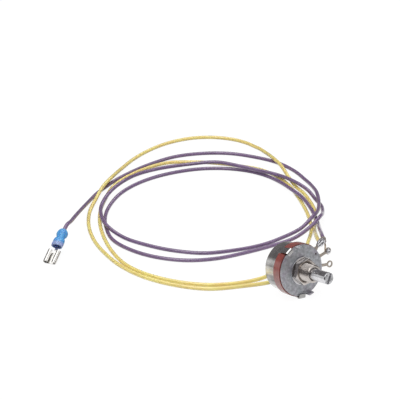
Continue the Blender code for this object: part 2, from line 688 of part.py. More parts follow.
def rivet_hole(pot, angle):
    """A stepped cutter: the shank's hole and the counterbore for the rivet's front flare."""
    over = 1.0
    floor = BASE_FRONT - RIVET_BORE_FLOOR
    cutter = turned(
        "rivet_hole",
        [
            (0.0, BASE_FRONT + over),
            (RIVET_HEAD + GAP / 2, BASE_FRONT + over),
            (RIVET_HEAD + GAP / 2, floor),
            (RIVET_SHANK + GAP, floor),
            (RIVET_SHANK + GAP, WEB_BACK - over / 2),
            (0.0, WEB_BACK - over / 2),
        ],
        "steel",
        pot,
        segments=16,
        collection=CUTTERS,
    )
    cutter.location = radial_place(RIVET_PLACE, angle)
    return cutter


def radial_place(radius, angle, level=0.0):
    return Vector((radius * cos(radians(angle)), radius * sin(radians(angle)), level)) * MM


def terminal_outline(inner_points):
    """A terminal lying along +X: its inner end as given, then the strip, neck and eyelet."""
    half = TERMINAL_WIDTH / 2
    neck = TERMINAL_NECK / 2
    open_angle = degrees(asin(neck / EYELET_RADIUS))
    eyelet = arc(EYELET_RADIUS, -180.0 + open_angle, 180.0 - open_angle, 20, (EYELET_PLACE, 0.0))
    step = BASE_RADIUS + TERMINAL_STEP
    taper = step + TERMINAL_TAPER
    return inner_points + [(step, -half), (taper, -neck)] + eyelet + [(taper, neck), (step, half)]


def build_terminals(pot):
    half = TERMINAL_WIDTH / 2
    eyelet_hole = circle(EYELET_HOLE, 16, (EYELET_PLACE, 0.0))
    rivet_bore = circle(RIVET_SHANK + GAP, 12, (RIVET_PLACE, 0.0))
    square_end = [(TERMINAL_INNER_END, half), (TERMINAL_INNER_END, -half)]
    spread = degrees(asin(half / COLLECTOR_OUTER))
    ring_end = arc(COLLECTOR_OUTER, spread, 360.0 - spread, 36)
    ends = {"terminal_upper": square_end, "terminal_wiper": ring_end, "terminal_lower": square_end}
    for (name, end), angle in zip(ends.items(), TERMINAL_ANGLES):
        outlines = [terminal_outline(end), eyelet_hole, rivet_bore]
        if end is ring_end:
            outlines.append(circle(COLLECTOR_INNER, MEDIUM))
        flat(name, outlines, TERMINAL_THICKNESS, "tinned", pot, TERMINAL_LEVEL, angle)


def build_rivets(pot):
    front = BASE_FRONT - RIVET_SINK
    flare = BASE_FRONT - RIVET_BORE_FLOOR + GAP
    for name, angle in zip(("rivet_upper", "rivet_wiper", "rivet_lower"), TERMINAL_ANGLES):
        rivet = turned(
            name,
            [
                (0.0, front),
                (RIVET_HEAD - GAP, front),
                (RIVET_HEAD - GAP, flare),
                (RIVET_SHANK, flare),
                (RIVET_SHANK, TERMINAL_BACK - GAP),
                (RIVET_HEAD, TERMINAL_BACK - GAP),
                (RIVET_HEAD * 0.8, RIVET_BACK + 0.15),
                (RIVET_HEAD * 0.5, RIVET_BACK),
                (0.0, RIVET_BACK),
            ],
            "tinned",
            pot,
            segments=16,
        )
        rivet.location = radial_place(RIVET_PLACE, angle)


def build_element(pot):
    """The wound card: an open ring whose turns of wire stand out as ribs on both faces."""
    half = ELEMENT_GAP / 2
    steps = ELEMENT_TURNS * 2
    angles = [half + (360.0 - ELEMENT_GAP) * step / steps for step in range(steps + 1)]
    outer, inner = [], []
    for step, angle in enumerate(angles):
        rib = ELEMENT_RIB * (step % 2)
        turn = radians(angle)
        outer.append(((ELEMENT_OUTER - rib) * cos(turn), (ELEMENT_OUTER - rib) * sin(turn)))
        inner.append(((ELEMENT_INNER + rib) * cos(turn), (ELEMENT_INNER + rib) * sin(turn)))
    level = WEB_BACK - GAP - ELEMENT_HEIGHT / 2
    flat("resistance_element", [outer + inner[::-1]], ELEMENT_HEIGHT, "winding", pot, level, TERMINAL_AXIS)


def build_rotor(spindle):
    half = ROTOR_ARM_HALF_ANGLE
    outline = arc(ROTOR_RADIUS, half, 360.0 - half, 40) + arc(ROTOR_ARM_RADIUS, -half, half, 4)
    bore = circle(SHAFT_RADIUS - SEAT_DEPTH + GAP, SMALL)
    level = -ROTOR_PLACE - ROTOR_THICKNESS / 2
    flat("rotor", [outline, bore], ROTOR_THICKNESS, "moulding", spindle, level, OPPOSITE)


def build_wiper(spindle):
    """A spring plate on the rotor: a paddle on the element and a leaf on the collector."""
    ring = [circle(WIPER_OUTER, MEDIUM), circle(WIPER_INNER, MEDIUM)]
    wiper = flat("wiper", ring, WIPER_THICKNESS, "tinned", spindle, WIPER_LEVEL)
    reach = WIPER_REACH - WIPER_THICKNESS / 2
    middle = (WIPER_INNER + WIPER_OUTER) / 2
    sheet = WIPER_THICKNESS * 0.9
    paddle_end = WEB_BACK - GAP - ELEMENT_HEIGHT + PADDLE_RISE
    paddle = rounded_path([(middle, WIPER_LEVEL), (reach, WIPER_LEVEL), (reach, paddle_end)], PADDLE_BEND)
    leaf_level = TERMINAL_BACK - GAP - sheet / 2
    leaf = rounded_path(
        [
            (middle - PADDLE_BEND, WIPER_LEVEL),
            (WIPER_OUTER, WIPER_LEVEL),
            (WIPER_OUTER + LEAF_RISE, leaf_level),
            (WIPER_OUTER + LEAF_REACH, leaf_level),
        ],
        WIPER_THICKNESS / 2,
    )
    join(wiper, radial_strip("paddle", paddle, sheet, WIPER_WIDTH, OPPOSITE, "tinned", spindle, CUTTERS))
    join(wiper, radial_strip("leaf", leaf, sheet, WIPER_WIDTH, TERMINAL_AXIS, "tinned", spindle, CUTTERS))


def build_rear_cover(pot):
    inner = COVER_RADIUS - COVER_WALL
    corner = COVER_RADIUS - COVER_EDGE
    floor = COVER_BACK + COVER_WALL
    inner_arc = arc(COVER_EDGE - COVER_WALL, -90.0, 0.0, 4, (corner, COVER_BACK + COVER_EDGE))
    outer_arc = arc(COVER_EDGE, 0.0, -90.0, 6, (corner, COVER_BACK + COVER_EDGE))
    profile = [(0.0, floor)] + inner_arc + [(inner, COVER_FRONT), (COVER_RADIUS, COVER_FRONT)]
    cover = turned("rear_cover", profile + outer_arc + [(0.0, COVER_BACK)], "cover", pot, segments=FINE)
    wall = COVER_RADIUS - COVER_WALL / 2
    path = rounded_path(
        [
            (wall, COVER_FRONT - EAR_ROOT),
            (wall, COVER_FRONT - EAR_THICKNESS),
            (EAR_ROOT_RADIUS, EAR_ROOT_LEVEL),
            (EAR_FOLD, PLATE_BACK),
            (EAR_FOLD, GAP + EAR_THICKNESS / 2),
            (EAR_TIP_RADIUS, GAP + EAR_THICKNESS / 2),
        ],
        EAR_BEND,
    )
    for angle in EAR_ANGLES:
        join(cover, radial_strip("ear", path, EAR_THICKNESS, EAR_WIDTH, angle, "cover", pot, CUTTERS))


def build_solder(pot):
    base = TERMINAL_THICKNESS / 2 + GAP
    top = base + SOLDER_HEIGHT
    shank = EYELET_HOLE - GAP
    flank = base + SOLDER_HEIGHT * SOLDER_ROUNDING
    half = [(0.0, top), (SOLDER_RADIUS * 0.6, top - SOLDER_ROUNDING), (SOLDER_RADIUS * 0.9, flank)]
    half += [(SOLDER_RADIUS, base), (shank, base)]
    profile = half + [(r, -z) for r, z in half[::-1]]
    joints = zip(("solder_upper", "solder_wiper"), TERMINAL_ANGLES, (SOLDER_STRETCH, 1.0))
    for name, angle, stretch in joints:
        joint = turned(name, profile, "solder", pot, segments=16)
        joint.location = radial_place(EYELET_PLACE, angle, TERMINAL_LEVEL)
        joint.rotation_euler = (0.0, 0.0, radians(angle))
        joint.scale = (1.0, stretch, 1.0)


def build_receptacle(prefix, connector):
    """A stamped receptacle along +X: two rolled edges on a floor, a neck and a crimp barrel."""
    half = ROLL_SPACING / 2
    right = arc(ROLL_RADIUS, -90.0, ROLL_END, 10, (half, ROLL_RADIUS))
    left = [(-x, y) for x, y in reversed(right)]
    path = [Vector(point) for point in left + right]
    section = strip_outline(path, RECEPTACLE_SHEET)
    nose = CONNECTOR_LENGTH
    drop = -ROLL_RADIUS
    item = flat(prefix + "_receptacle", [section], RECEPTACLE_LENGTH, "tinned", connector)
    item.rotation_euler = (radians(90.0), 0.0, radians(90.0))
    item.location = Vector((nose - RECEPTACLE_LENGTH / 2, 0.0, drop)) * MM
    barrel_start = LEAD_INSERT + LEAD_END_GAP
    neck_start = barrel_start + BARREL_LENGTH - STRIP_LAP
    neck_end = nose - RECEPTACLE_LENGTH + STRIP_LAP
    edge = [(neck_start, STRIP_HALF_WIDTH), (neck_end - 2.0, STRIP_HALF_WIDTH), (neck_end - 0.6, half)]
    edge.append((neck_end, half))
    outline = [(x, -y) for x, y in edge] + edge[::-1]
    sheet = RECEPTACLE_SHEET * 0.8
    join(item, flat(prefix + "_neck", [outline], sheet, "tinned", connector, drop + 0.05, 0.0, CUTTERS))
    barrel = turned(
        prefix + "_barrel",
        [(r, z) for r, z in zip((BARREL_RADIUS, BARREL_RADIUS, BARREL_BORE, BARREL_BORE),
                                (BARREL_LENGTH, 0.0, 0.0, BARREL_LENGTH))],
        "tinned", connector, segments=16, closed=True, collection=CUTTERS,
    )
    barrel.rotation_euler = (0.0, radians(90.0), 0.0)
    barrel.location = Vector((barrel_start, 0.0, 0.0)) * MM
    join(item, barrel)


def sleeve_stations():
    """Share of the length, half width and half height: round at the waist, wider in two lobes."""
    lobe = SLEEVE_RADIUS + SLEEVE_LOBE
    return (
        (0.0, SLEEVE_ENTRY, SLEEVE_ENTRY),
        (0.06, SLEEVE_RADIUS, SLEEVE_RADIUS * 0.95),
        (0.18, lobe - SLEEVE_LOBE * 0.2, SLEEVE_RADIUS),
        (0.28, lobe, SLEEVE_RADIUS),
        (0.4, SLEEVE_RADIUS + SLEEVE_LOBE * 0.4, SLEEVE_RADIUS),
        (0.47, SLEEVE_RADIUS, SLEEVE_RADIUS),
        (0.54, SLEEVE_RADIUS + SLEEVE_LOBE * 0.5, SLEEVE_RADIUS),
        (0.66, lobe, SLEEVE_RADIUS),
        (0.82, lobe + SLEEVE_LOBE * 0.1, SLEEVE_RADIUS),
        (1.0, lobe - SLEEVE_LOBE * 0.1, SLEEVE_RADIUS),
    )


def build_sleeve(prefix, connector):
    """The insulating sleeve, lofted through two lobes with the crimp's waist between them."""
    sides = SMALL
    stations = sleeve_stations()
    work = bmesh.new()
    rings = []
    for inward in (0.0, SLEEVE_WALL):
        for share, wide, high in stations if inward == 0.0 else stations[::-1]:
            rings.append([
                work.verts.new((
                    share * SLEEVE_LENGTH * MM,
                    (wide - inward) * cos(2 * pi * side / sides) * MM,
                    (high - inward) * sin(2 * pi * side / sides) * MM,
                ))
                for side in range(sides)
            ])
    for here, there in zip(rings, rings[1:] + rings[:1]):
        for side in range(sides):
            after = (side + 1) % sides
            work.faces.new((here[side], here[after], there[after], there[side]))
    bmesh.ops.recalc_face_normals(work, faces=work.faces)
    mesh = bpy.data.meshes.new(prefix + "_sleeve")
    work.to_mesh(mesh)
    work.free()
    smooth_shading(mesh)
    place(bpy.data.objects.new(prefix + "_sleeve", mesh), "sleeve", connector)


def build_lead(prefix, route, conductor, heading, slope):
    points = smooth_route(route, LEAD_POINTS)
    wire(prefix + "_lead", points, LEAD_RADIUS, prefix)
    wire(prefix + "_conductor", conductor, CONDUCTOR_RADIUS, "copper")
    turn = Matrix.Rotation(radians(heading), 4, "Z") @ Matrix.Rotation(radians(slope), 4, "Y")
    start = points[-1] - turn.to_3x3() @ Vector((LEAD_INSERT, 0.0, 0.0))
    connector = empty(prefix + "_connector", start * MM, turn.to_euler())
    build_sleeve(prefix, connector)
    build_receptacle(prefix, connector)


def build():
    pot = empty("pot_frame", Vector((POT_X, POT_Y, PLATE_HEIGHT)) * MM, (pi / 2 - TILT, 0.0, 0.0))
    spindle = empty("shaft_axis", (0.0, 0.0, 0.0), (0.0, 0.0, 0.0), pot)
    build_front_plate(pot)
    build_bushing(pot)
    build_lock_washer(pot)
    build_hex_nut(pot)
    build_base(pot)
    build_terminals(pot)
    build_rivets(pot)
    build_element(pot)
    build_rear_cover(pot)
    build_solder(pot)
    build_shaft(spindle)
    build_retaining_ring(spindle)
    build_rotor(spindle)
    build_wiper(spindle)
    build_lead("purple", PURPLE_ROUTE, PURPLE_CONDUCTOR, PURPLE_HEADING, PURPLE_SLOPE)
    build_lead("yellow", YELLOW_ROUTE, YELLOW_CONDUCTOR, YELLOW_HEADING, YELLOW_SLOPE)
    bpy.context.view_layer.update()


build()
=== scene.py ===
"""Looks of a wire-wound panel potentiometer with two hook-up leads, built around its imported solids."""

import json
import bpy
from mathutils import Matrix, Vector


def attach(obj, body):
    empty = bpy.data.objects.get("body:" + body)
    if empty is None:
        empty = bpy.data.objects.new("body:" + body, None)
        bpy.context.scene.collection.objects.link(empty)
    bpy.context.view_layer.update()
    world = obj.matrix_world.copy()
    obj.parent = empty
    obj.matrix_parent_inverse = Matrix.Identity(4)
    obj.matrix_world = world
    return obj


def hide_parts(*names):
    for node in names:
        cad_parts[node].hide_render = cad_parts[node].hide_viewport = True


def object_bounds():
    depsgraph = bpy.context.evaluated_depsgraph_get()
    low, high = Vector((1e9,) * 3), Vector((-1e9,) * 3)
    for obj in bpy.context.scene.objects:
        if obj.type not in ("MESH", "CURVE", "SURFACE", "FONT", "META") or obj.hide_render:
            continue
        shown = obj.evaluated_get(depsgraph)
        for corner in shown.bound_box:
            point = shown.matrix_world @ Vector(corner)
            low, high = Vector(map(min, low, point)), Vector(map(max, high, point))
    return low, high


bl_info = {
    "name": "Wire-wound potentiometer",
    "version": (1, 0, 0),
    "blender": (4, 5, 0),
    "location": "View3D > Sidebar > Potentiometer",
    "description": "Dresses the packed solids of a panel potentiometer and its leads, and sets the stage",
    "category": "Object",
}

from math import ceil, cos, exp, pi, radians, sin

import bmesh
import bpy
from bpy.props import FloatProperty, FloatVectorProperty, PointerProperty
from mathutils import Matrix, Vector, noise

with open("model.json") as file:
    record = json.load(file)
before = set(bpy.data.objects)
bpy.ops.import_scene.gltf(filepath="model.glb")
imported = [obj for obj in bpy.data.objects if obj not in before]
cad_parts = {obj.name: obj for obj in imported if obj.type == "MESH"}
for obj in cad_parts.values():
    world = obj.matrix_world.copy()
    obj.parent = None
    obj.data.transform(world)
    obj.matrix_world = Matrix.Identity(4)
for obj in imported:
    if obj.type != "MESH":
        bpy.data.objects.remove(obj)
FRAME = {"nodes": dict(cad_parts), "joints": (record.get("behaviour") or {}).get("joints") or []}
CAD_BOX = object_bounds()
NODES = FRAME["nodes"]
SHAFT_JOINT = FRAME["joints"][0]
MM = 0.001
# Points nearer than this are one point
MERGE = 0.001 * MM
# Angles in degrees: below FLAT two faces are one, above EDGE an edge is broken, above SHARP it is shaded so
FLAT = 0.8
EDGE = 40.0
SHARP = 50.0
CASE = "case"
SPINDLE = "spindle"

# Purple lead, in millimetres on the table, from the terminals to its receptacle
PURPLE_ROUTE = (
    (17.9, 10.1, 18.2), (18.9, 11.2, 19.8), (18.9, 12.3, 22.4), (21.4, 16.5, 22.5), (28.7, 26, 19.3),
    (38.3, 38, 13.9), (47.3, 49, 8.8), (57.1, 61.1, 3.9), (61.2, 68, 4.1), (69.3, 83.3, 3.8),
    (74.6, 97.1, 3.9), (76.9, 109.4, 3.8), (81.5, 125.7, 1.8), (81.7, 139.9, 1.2), (77.2, 152.5, 1.2),
    (68.3, 163.7, 1.2), (55.8, 172.2, 1.2), (41.1, 176.9, 1.2), (25.6, 178.3, 1.2), (10, 176.1, 1.2),
    (-4.7, 170.4, 1.2), (-18.4, 160.9, 1.2), (-30.2, 149.1, 1.2), (-39.4, 134.9, 1.3), (-45.8, 118.6, 1.2),
    (-45.2, 101.5, 1.2), (-39.3, 85.4, 1.2), (-28.2, 72, 1.2), (-13.1, 63.9, 1.2), (4.9, 60.3, 1.2),
    (22.1, 58.3, 1.4), (34.5, 55.1, 3.6), (46.4, 55, 7.6), (57.8, 60.4, 8.7), (68.1, 70.1, 4.6),
    (77.5, 81.8, 2.2), (82.2, 92.2, 1.2), (85.1, 103.5, 3.1), (85.1, 115.5, 4.4), (84.6, 129.9, 3.9),
    (80, 142.2, 4), (74.1, 154.2, 4.4), (66, 168.8, 4.4), (53.1, 180.6, 2.2), (36.5, 187.8, 1.2),
    (19.6, 187.3, 1.8), (2.8, 179.3, 3.8), (-10, 172.3, 3.9), (-22.5, 162.4, 3.9), (-32.5, 150.7, 3.8),
    (-40.6, 133.2, 4), (-39.3, 117.6, 1.4), (-34.4, 101.4, 1.2), (-26.6, 86.5, 1.2), (-15.2, 73.9, 1.2),
    (-0.1, 66.9, 1.2), (16.1, 63, 1.2), (30.5, 62.1, 2), (43.9, 61.3, 4.4), (53.3, 62.6, 8.3),
    (65, 71, 6.5), (75.3, 81.9, 5.2), (84.6, 94.4, 4.4), (91.8, 107.2, 2.6), (97.2, 120.4, 1.2),
    (100.7, 135.5, 1.2), (100.6, 151.5, 1.2), (95.1, 166.9, 1.2), (85.8, 181.5, 1.2), (71.8, 191.9, 1.2),
    (55.3, 197.6, 1.2), (37.1, 197.2, 1.2), (19.8, 193.8, 1.2), (4.3, 188.9, 1.2), (-8.3, 183, 1.2),
    (-17.4, 177.9, 1.4), (-28.5, 167.9, 3.7), (-41.3, 155.6, 6.9), (-54.1, 143.1, 10.1), (-63.7, 133.7, 12.2),
    (-70.1, 127.8, 14), (-73.1, 126, 12.4), (-75.6, 124.4, 10.8),
)
# Yellow lead, from the terminals through its two loops to the receptacle behind the case
YELLOW_ROUTE = (
    (13.9, 10.4, 23.9), (15.8, 14, 23.4), (20, 20, 21.8), (27.1, 29, 18.2), (39.9, 44.1, 10.5),
    (51.2, 57.4, 4.2), (59.1, 66.2, 1.2), (65.7, 73.5, 1.2), (71.8, 81.4, 1.2), (77.1, 91, 1.2),
    (82.9, 104.5, 1.2), (85.7, 115.6, 1.2), (90.4, 128.4, 2.4), (95.3, 141, 3.9), (98.4, 152.2, 4.3),
    (104.3, 167.6, 1.9), (106.6, 182, 1.2), (103.5, 196.9, 1.2), (95.1, 209, 1.2), (82.4, 216.7, 1.2),
    (66.2, 219.1, 1.2), (49.6, 216.5, 1.2), (33.2, 210.5, 1.2), (16.4, 200.5, 1.8), (1.9, 189.2, 3.9),
    (-10.4, 180.6, 3.9), (-23, 169.4, 3.2), (-35.8, 157.5, 1.4), (-46.9, 141.3, 1.2), (-54.9, 123.6, 1.2),
    (-59.3, 106.5, 1.2), (-61.3, 88.8, 1.2), (-59.3, 70.4, 1.2), (-52, 52.5, 1.2), (-39.9, 37.3, 1.2),
    (-23.2, 28.8, 1.2), (-6.7, 23.5, 1.2), (10.3, 26, 1.2), (25.3, 35.5, 1.2), (38, 48, 1.2),
    (51.6, 60.6, 1.2), (61.8, 74.5, 1.2), (70.8, 90.3, 1.2), (78.2, 105.9, 1.2), (84, 120.6, 1.2),
    (86.6, 136.4, 1.2), (84.8, 149.5, 1.2), (78.5, 161, 1.2), (70, 173.2, 1.2), (58.6, 184.2, 1.2),
    (45.4, 192.4, 1.2), (28.8, 192.7, 1.2), (12.9, 189, 1.2), (-2.3, 181.8, 1.2), (-16.3, 169.6, 1.2),
    (-28.6, 156.7, 1.2), (-39.1, 141.7, 1.2), (-47.5, 125.4, 1.2), (-54.1, 108.2, 1.2), (-58.1, 89.4, 1.2),
    (-56.3, 72.1, 1.2), (-49, 55.3, 1.2), (-36.9, 40.9, 1.2), (-21.4, 32.6, 1.2), (-9.2, 29.5, 1.6),
    (0.8, 30.5, 2.1), (7.3, 34.1, 2.5), (9.5, 36, 2.55),
)
# Bare conductor ends, from each lead through its terminal
PURPLE_CONDUCTOR = ((17.55, 9.7, 17.75), (17.15, 8.95, 17.9), (16.9, 8.45, 18.5))
YELLOW_CONDUCTOR = ((13.65, 9.95, 24.1), (13.65, 9.7, 24.5), (13.7, 9.6, 25.0))
# Heading and nose-down slope of each receptacle, in degrees
CONNECTORS = {"purple": (-148.1, 29.0), "yellow": (42.0, 0.0)}
ROUTES = {"purple": PURPLE_ROUTE, "yellow": YELLOW_ROUTE}
CONDUCTORS = {"purple": PURPLE_CONDUCTOR, "yellow": YELLOW_CONDUCTOR}
# How far a lead reaches into its receptacle, and the spacing of its points
LEAD_INSERT = 3.0
LEAD_SPACING = 2.2
# Points by which each lead is stripped back further than in the solids
STRIPPED = {"purple": 2, "yellow": 0}

# The camera: its place in metres, its heading and drop in degrees, and its lens in millimetres
CAMERA_PLACE = (-0.5372, -0.6178, 0.4138)
CAMERA_HEADING = -36.9
CAMERA_DROP = 23.7
CAMERA_LENS = 155.5
CAMERA_SENSOR = 36.0


def screen_colour(red, green, blue):
    """A linear colour from screen values of 0 to 255."""
    parts = [value / 255 for value in (red, green, blue)]
    return tuple(p / 12.92 if p <= 0.04045 else ((p + 0.055) / 1.055) ** 2.4 for p in parts)


def colour(name, description, red, green, blue):
    return FloatVectorProperty(
        name=name,
        description=description,
        default=screen_colour(red, green, blue),
        subtype="COLOR",
        size=3,
        min=0.0,
        max=1.0,
    )


def length(name, description, millimetres):
    return FloatProperty(
        name=name, description=description, default=millimetres * MM, min=0.0, unit="LENGTH", precision=5
    )


class PotentiometerSizes(bpy.types.PropertyGroup):
    """Sizes of the fine detail that the solids leave plain."""

    lead_diameter: length("Lead diameter", "Outside diameter of the hook-up wire", 2.2)
    strand_diameter: length("Strand diameter", "Diameter of one strand of the conductor", 0.32)
    thread_pitch: length("Thread pitch", "Pitch of the fine thread on the bushing", 0.794)
    thread_depth: length("Thread depth", "Depth of the fine thread on the bushing", 0.34)
    edge_break: length("Edge break", "Rounding of the stamped and turned edges", 0.1)


class PotentiometerColours(bpy.types.PropertyGroup):
    """Colours of the finishes."""

    purple: colour("Purple insulation", "Colour of the purple lead", 124, 99, 138)
    yellow: colour("Yellow insulation", "Colour of the yellow lead", 255, 228, 138)
    sleeve: colour("Sleeve", "Colour of the receptacles' insulating sleeves", 92, 174, 255)
    phenolic: colour("Phenolic", "Colour of the moulded base", 150, 66, 58)
    zinc: colour("Zinc plate", "Colour of the plated front plate", 190, 191, 196)
    nickel: colour("Nickel plate", "Colour of the bushing and the nut", 212, 205, 200)
    steel: colour("Steel", "Colour of the shaft and the washer", 232, 232, 235)
    cover: colour("Cover", "Colour of the drawn cover", 236, 235, 233)
    tinned: colour("Tinned brass", "Colour of the receptacles and the contact spring", 230, 228, 224)
    terminal: colour("Terminals", "Colour of the dull tin on the terminals and rivets", 186, 176, 166)
    solder: colour("Solder", "Colour of the flowed solder", 228, 228, 232)
    strands: colour("Strands", "Colour of the tinned copper strands", 206, 190, 172)
    winding: colour("Winding", "Colour of the resistance wire", 150, 128, 96)
    rotor: colour("Rotor", "Colour of the rotor's moulding", 58, 48, 44)


class Value:
    """A number on its way through a material: arithmetic on it adds Math nodes."""

    def __init__(self, recipe, socket):
        self.recipe = recipe
        self.socket = socket

    def __add__(self, other):
        return self.recipe.math("ADD", self, other)

    def __sub__(self, other):
        return self.recipe.math("SUBTRACT", self, other)

    def __rsub__(self, other):
        return self.recipe.math("SUBTRACT", other, self)

    def __mul__(self, other):
        return self.recipe.math("MULTIPLY", self, other)

    __radd__ = __add__
    __rmul__ = __mul__

    def held(self):
        """The value kept between 0 and 1."""
        return self.recipe.math("ADD", self, 0.0, use_clamp=True)

    def step(self, low, high):
        """0 below low, 1 above high, and a smooth rise between."""
        settings = {"interpolation_type": "SMOOTHSTEP"}
        values = {"Value": self, "From Min": low, "From Max": high}
        return self.recipe.node("ShaderNodeMapRange", settings, values, "Result")


class Recipe:
    """The node tree of a material, a world or a lamp, written as expressions."""

    def __init__(self, tree):
        self.tree = tree

    def feed(self, socket, value):
        if isinstance(value, Value):
            self.tree.links.new(value.socket, socket)
        elif socket.type == "RGBA":
            socket.default_value = (*value[:3], 1.0)
        else:
            socket.default_value = value

    def node(self, kind, settings, values, output=0):
        """Adds a node, sets it up, then gives its sockets their values or links."""
        node = self.tree.nodes.new(kind)
        for name, setting in settings.items():
            setattr(node, name, setting)
        for name, value in values.items():
            self.feed(node.inputs[name], value)
        return None if output is None else Value(self, node.outputs[output])

    def math(self, operation, first, second, use_clamp=False):
        settings = {"operation": operation, "use_clamp": use_clamp}
        return self.node("ShaderNodeMath", settings, {0: first, 1: second})

    def mixed(self, factor, first, second):
        """Two colours mixed by a factor."""
        return self.node("ShaderNodeMix", {"data_type": "RGBA"}, {0: factor, 6: first, 7: second}, 2)

    def place(self, matrix=None):
        """Object coordinates, in the frame that the matrix gives where there is one."""
        spot = self.node("ShaderNodeTexCoord", {}, {}, "Object")
        if matrix is None:
            return spot
        back = matrix.inverted()
        values = {"Vector": spot, "Location": back.to_translation(), "Rotation": back.to_euler()}
        return self.node("ShaderNodeMapping", {"vector_type": "POINT"}, values)

    def stretched(self, spot, scale):
        return self.node("ShaderNodeMapping", {"vector_type": "POINT"}, {"Vector": spot, "Scale": scale})

    def noise(self, spot, size, detail=3.0, roughness=0.55):
        """Smooth noise whose features are about size millimetres across."""
        values = {"Vector": spot, "Scale": 1.0 / (size * MM), "Detail": detail, "Roughness": roughness}
        return self.node("ShaderNodeTexNoise", {}, values, "Fac")

    def cells(self, spot, size):
        """Distance to the nearest of points that lie about size millimetres apart."""
        values = {"Vector": spot, "Scale": 1.0 / (size * MM)}
        return self.node("ShaderNodeTexVoronoi", {}, values, "Distance")

    def parts(self, spot):
        """The X, Y and Z of a vector."""
        split = self.node("ShaderNodeSeparateXYZ", {}, {0: spot}).socket.node
        return [Value(self, output) for output in split.outputs]

    def distance(self, x, y):
        """How far a place lies from the origin, across the XY plane."""
        return self.math("SQRT", x * x + y * y, 0.0)

    def bump(self, height, depth, strength):
        """A normal from a height of 0 to 1 over a depth in millimetres."""
        values = {"Height": height, "Distance": depth * MM, "Strength": strength}
        return self.node("ShaderNodeBump", {}, values)

    def ray(self, kind):
        """1 for rays of a kind, such as Is Camera Ray, and 0 for others."""
        return self.node("ShaderNodeLightPath", {}, {}, kind)


class Finish(Recipe):
    """A material with one surface shader."""

    made = {}

    def __init__(self, name):
        self.material = bpy.data.materials.new(name)
        self.material.use_nodes = True
        super().__init__(self.material.node_tree)
        self.shader = self.tree.nodes["Principled BSDF"]
        Finish.made[name] = self.material

    def surface(self, **values):
        """Feeds the shader's sockets, whose names are written in small letters with underscores."""
        for name, value in values.items():
            socket = name.replace("_", " ").title().replace("Ior", "IOR")
            self.feed(self.shader.inputs[socket], value)


def pot_matrix():
    """The potentiometer's own frame: Z along the shaft, X towards the middle of its terminals."""
    axis = Vector(SHAFT_JOINT["axis"]).normalized()
    across = Vector((1.0, 0.0, 0.0))
    matrix = Matrix((across, axis.cross(across), axis)).transposed().to_4x4()
    matrix.translation = Vector(SHAFT_JOINT["pos_m"])
    return matrix


POT = pot_matrix()


def smooth_route(points, spacing):
    """Points at even spacing on a smooth curve through the route, in metres."""
    knots = [Vector(point) * MM for point in points]
    knots = [knots[0] * 2 - knots[1]] + knots + [knots[-1] * 2 - knots[-2]]
    steps = 16
    fine = []
    for a, b, c, d in zip(knots, knots[1:], knots[2:], knots[3:]):
        slope = c - a
        bend = a * 2 - b * 5 + c * 4 - d
        twist = b * 3 - a - c * 3 + d
        for step in range(steps):
            t = step / steps
            fine.append((b * 2 + slope * t + bend * t**2 + twist * t**3) / 2)
    fine.append(knots[-2])
    reach = [0.0]
    for here, there in zip(fine, fine[1:]):
        reach.append(reach[-1] + (there - here).length)
    count = ceil(reach[-1] / spacing)
    route = []
    index = 0
    for step in range(count + 1):
        wanted = reach[-1] * step / count
        while index < len(reach) - 2 and reach[index + 1] < wanted:
            index += 1
        share = (wanted - reach[index]) / (reach[index + 1] - reach[index])
        route.append(fine[index].lerp(fine[index + 1], share))
    return route


def path_length(points):
    return sum((there - here).length for here, there in zip(points, points[1:]))


def connector_matrix(prefix):
    """The frame of a receptacle: its start, with X towards its nose."""
    heading, slope = CONNECTORS[prefix]
    turn = Matrix.Rotation(radians(heading), 4, "Z") @ Matrix.Rotation(radians(slope), 4, "Y")
    end = Vector(ROUTES[prefix][-1]) * MM
    start = end - turn.to_3x3() @ Vector((LEAD_INSERT * MM, 0.0, 0.0))
    return Matrix.Translation(start) @ turn


def dress(piece, material, body, stands_for):
    """Gives a piece its finish and its body, and hides the nodes it stands for."""
    piece.data.materials.append(material)
    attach(piece, body)
    if stands_for:
        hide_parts(*stands_for)
    return piece


def add_piece(name, work, material, body=CASE, stands_for=(), place=None, sharp=32.0):
    """Turns a finished bmesh into a piece of the scene, placed in its mesh."""
    if place is not None:
        bmesh.ops.transform(work, matrix=place, verts=work.verts)
    mesh = bpy.data.meshes.new(name)
    work.to_mesh(mesh)
    work.free()
    mesh.shade_smooth()
    mesh.set_sharp_from_angle(angle=radians(sharp))
    piece = bpy.data.objects.new(name, mesh)
    bpy.context.scene.collection.objects.link(piece)
    return dress(piece, material, body, stands_for)


def weighted(piece):
    """Lets the large faces lead the shading across rounded edges."""
    step = piece.modifiers.new("weighted", "WEIGHTED_NORMAL")
    step.keep_sharp = True
    return piece


def closed(work):
    """Merges the doubles of a closed shape and points its faces outwards."""
    bmesh.ops.remove_doubles(work, verts=work.verts, dist=MERGE)
    bmesh.ops.recalc_face_normals(work, faces=work.faces)
    return work


def node_copy(node):
    """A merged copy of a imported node's mesh, with its flat faces whole."""
    work = bmesh.new()
    work.from_mesh(NODES[node].data)
    bmesh.ops.remove_doubles(work, verts=work.verts, dist=MERGE)
    bmesh.ops.dissolve_limit(work, angle_limit=radians(FLAT), verts=work.verts, edges=work.edges)
    return work


def level_edges(work, reach, low, high):
    """Edges within a reach of the Z axis whose ends lie between two heights."""
    return [
        edge for edge in work.edges
        if all(vert.co.xy.length < reach and low < vert.co.z < high for vert in edge.verts)
    ]


def bevel(work, edges, width, segments):
    """Cuts the given edges, or rounds them where there is more than one segment."""
    bmesh.ops.bevel(
        work, geom=edges, offset=width, offset_type="OFFSET", affect="EDGES", segments=segments,
        profile=0.5, material=-1, clamp_overlap=True,
    )


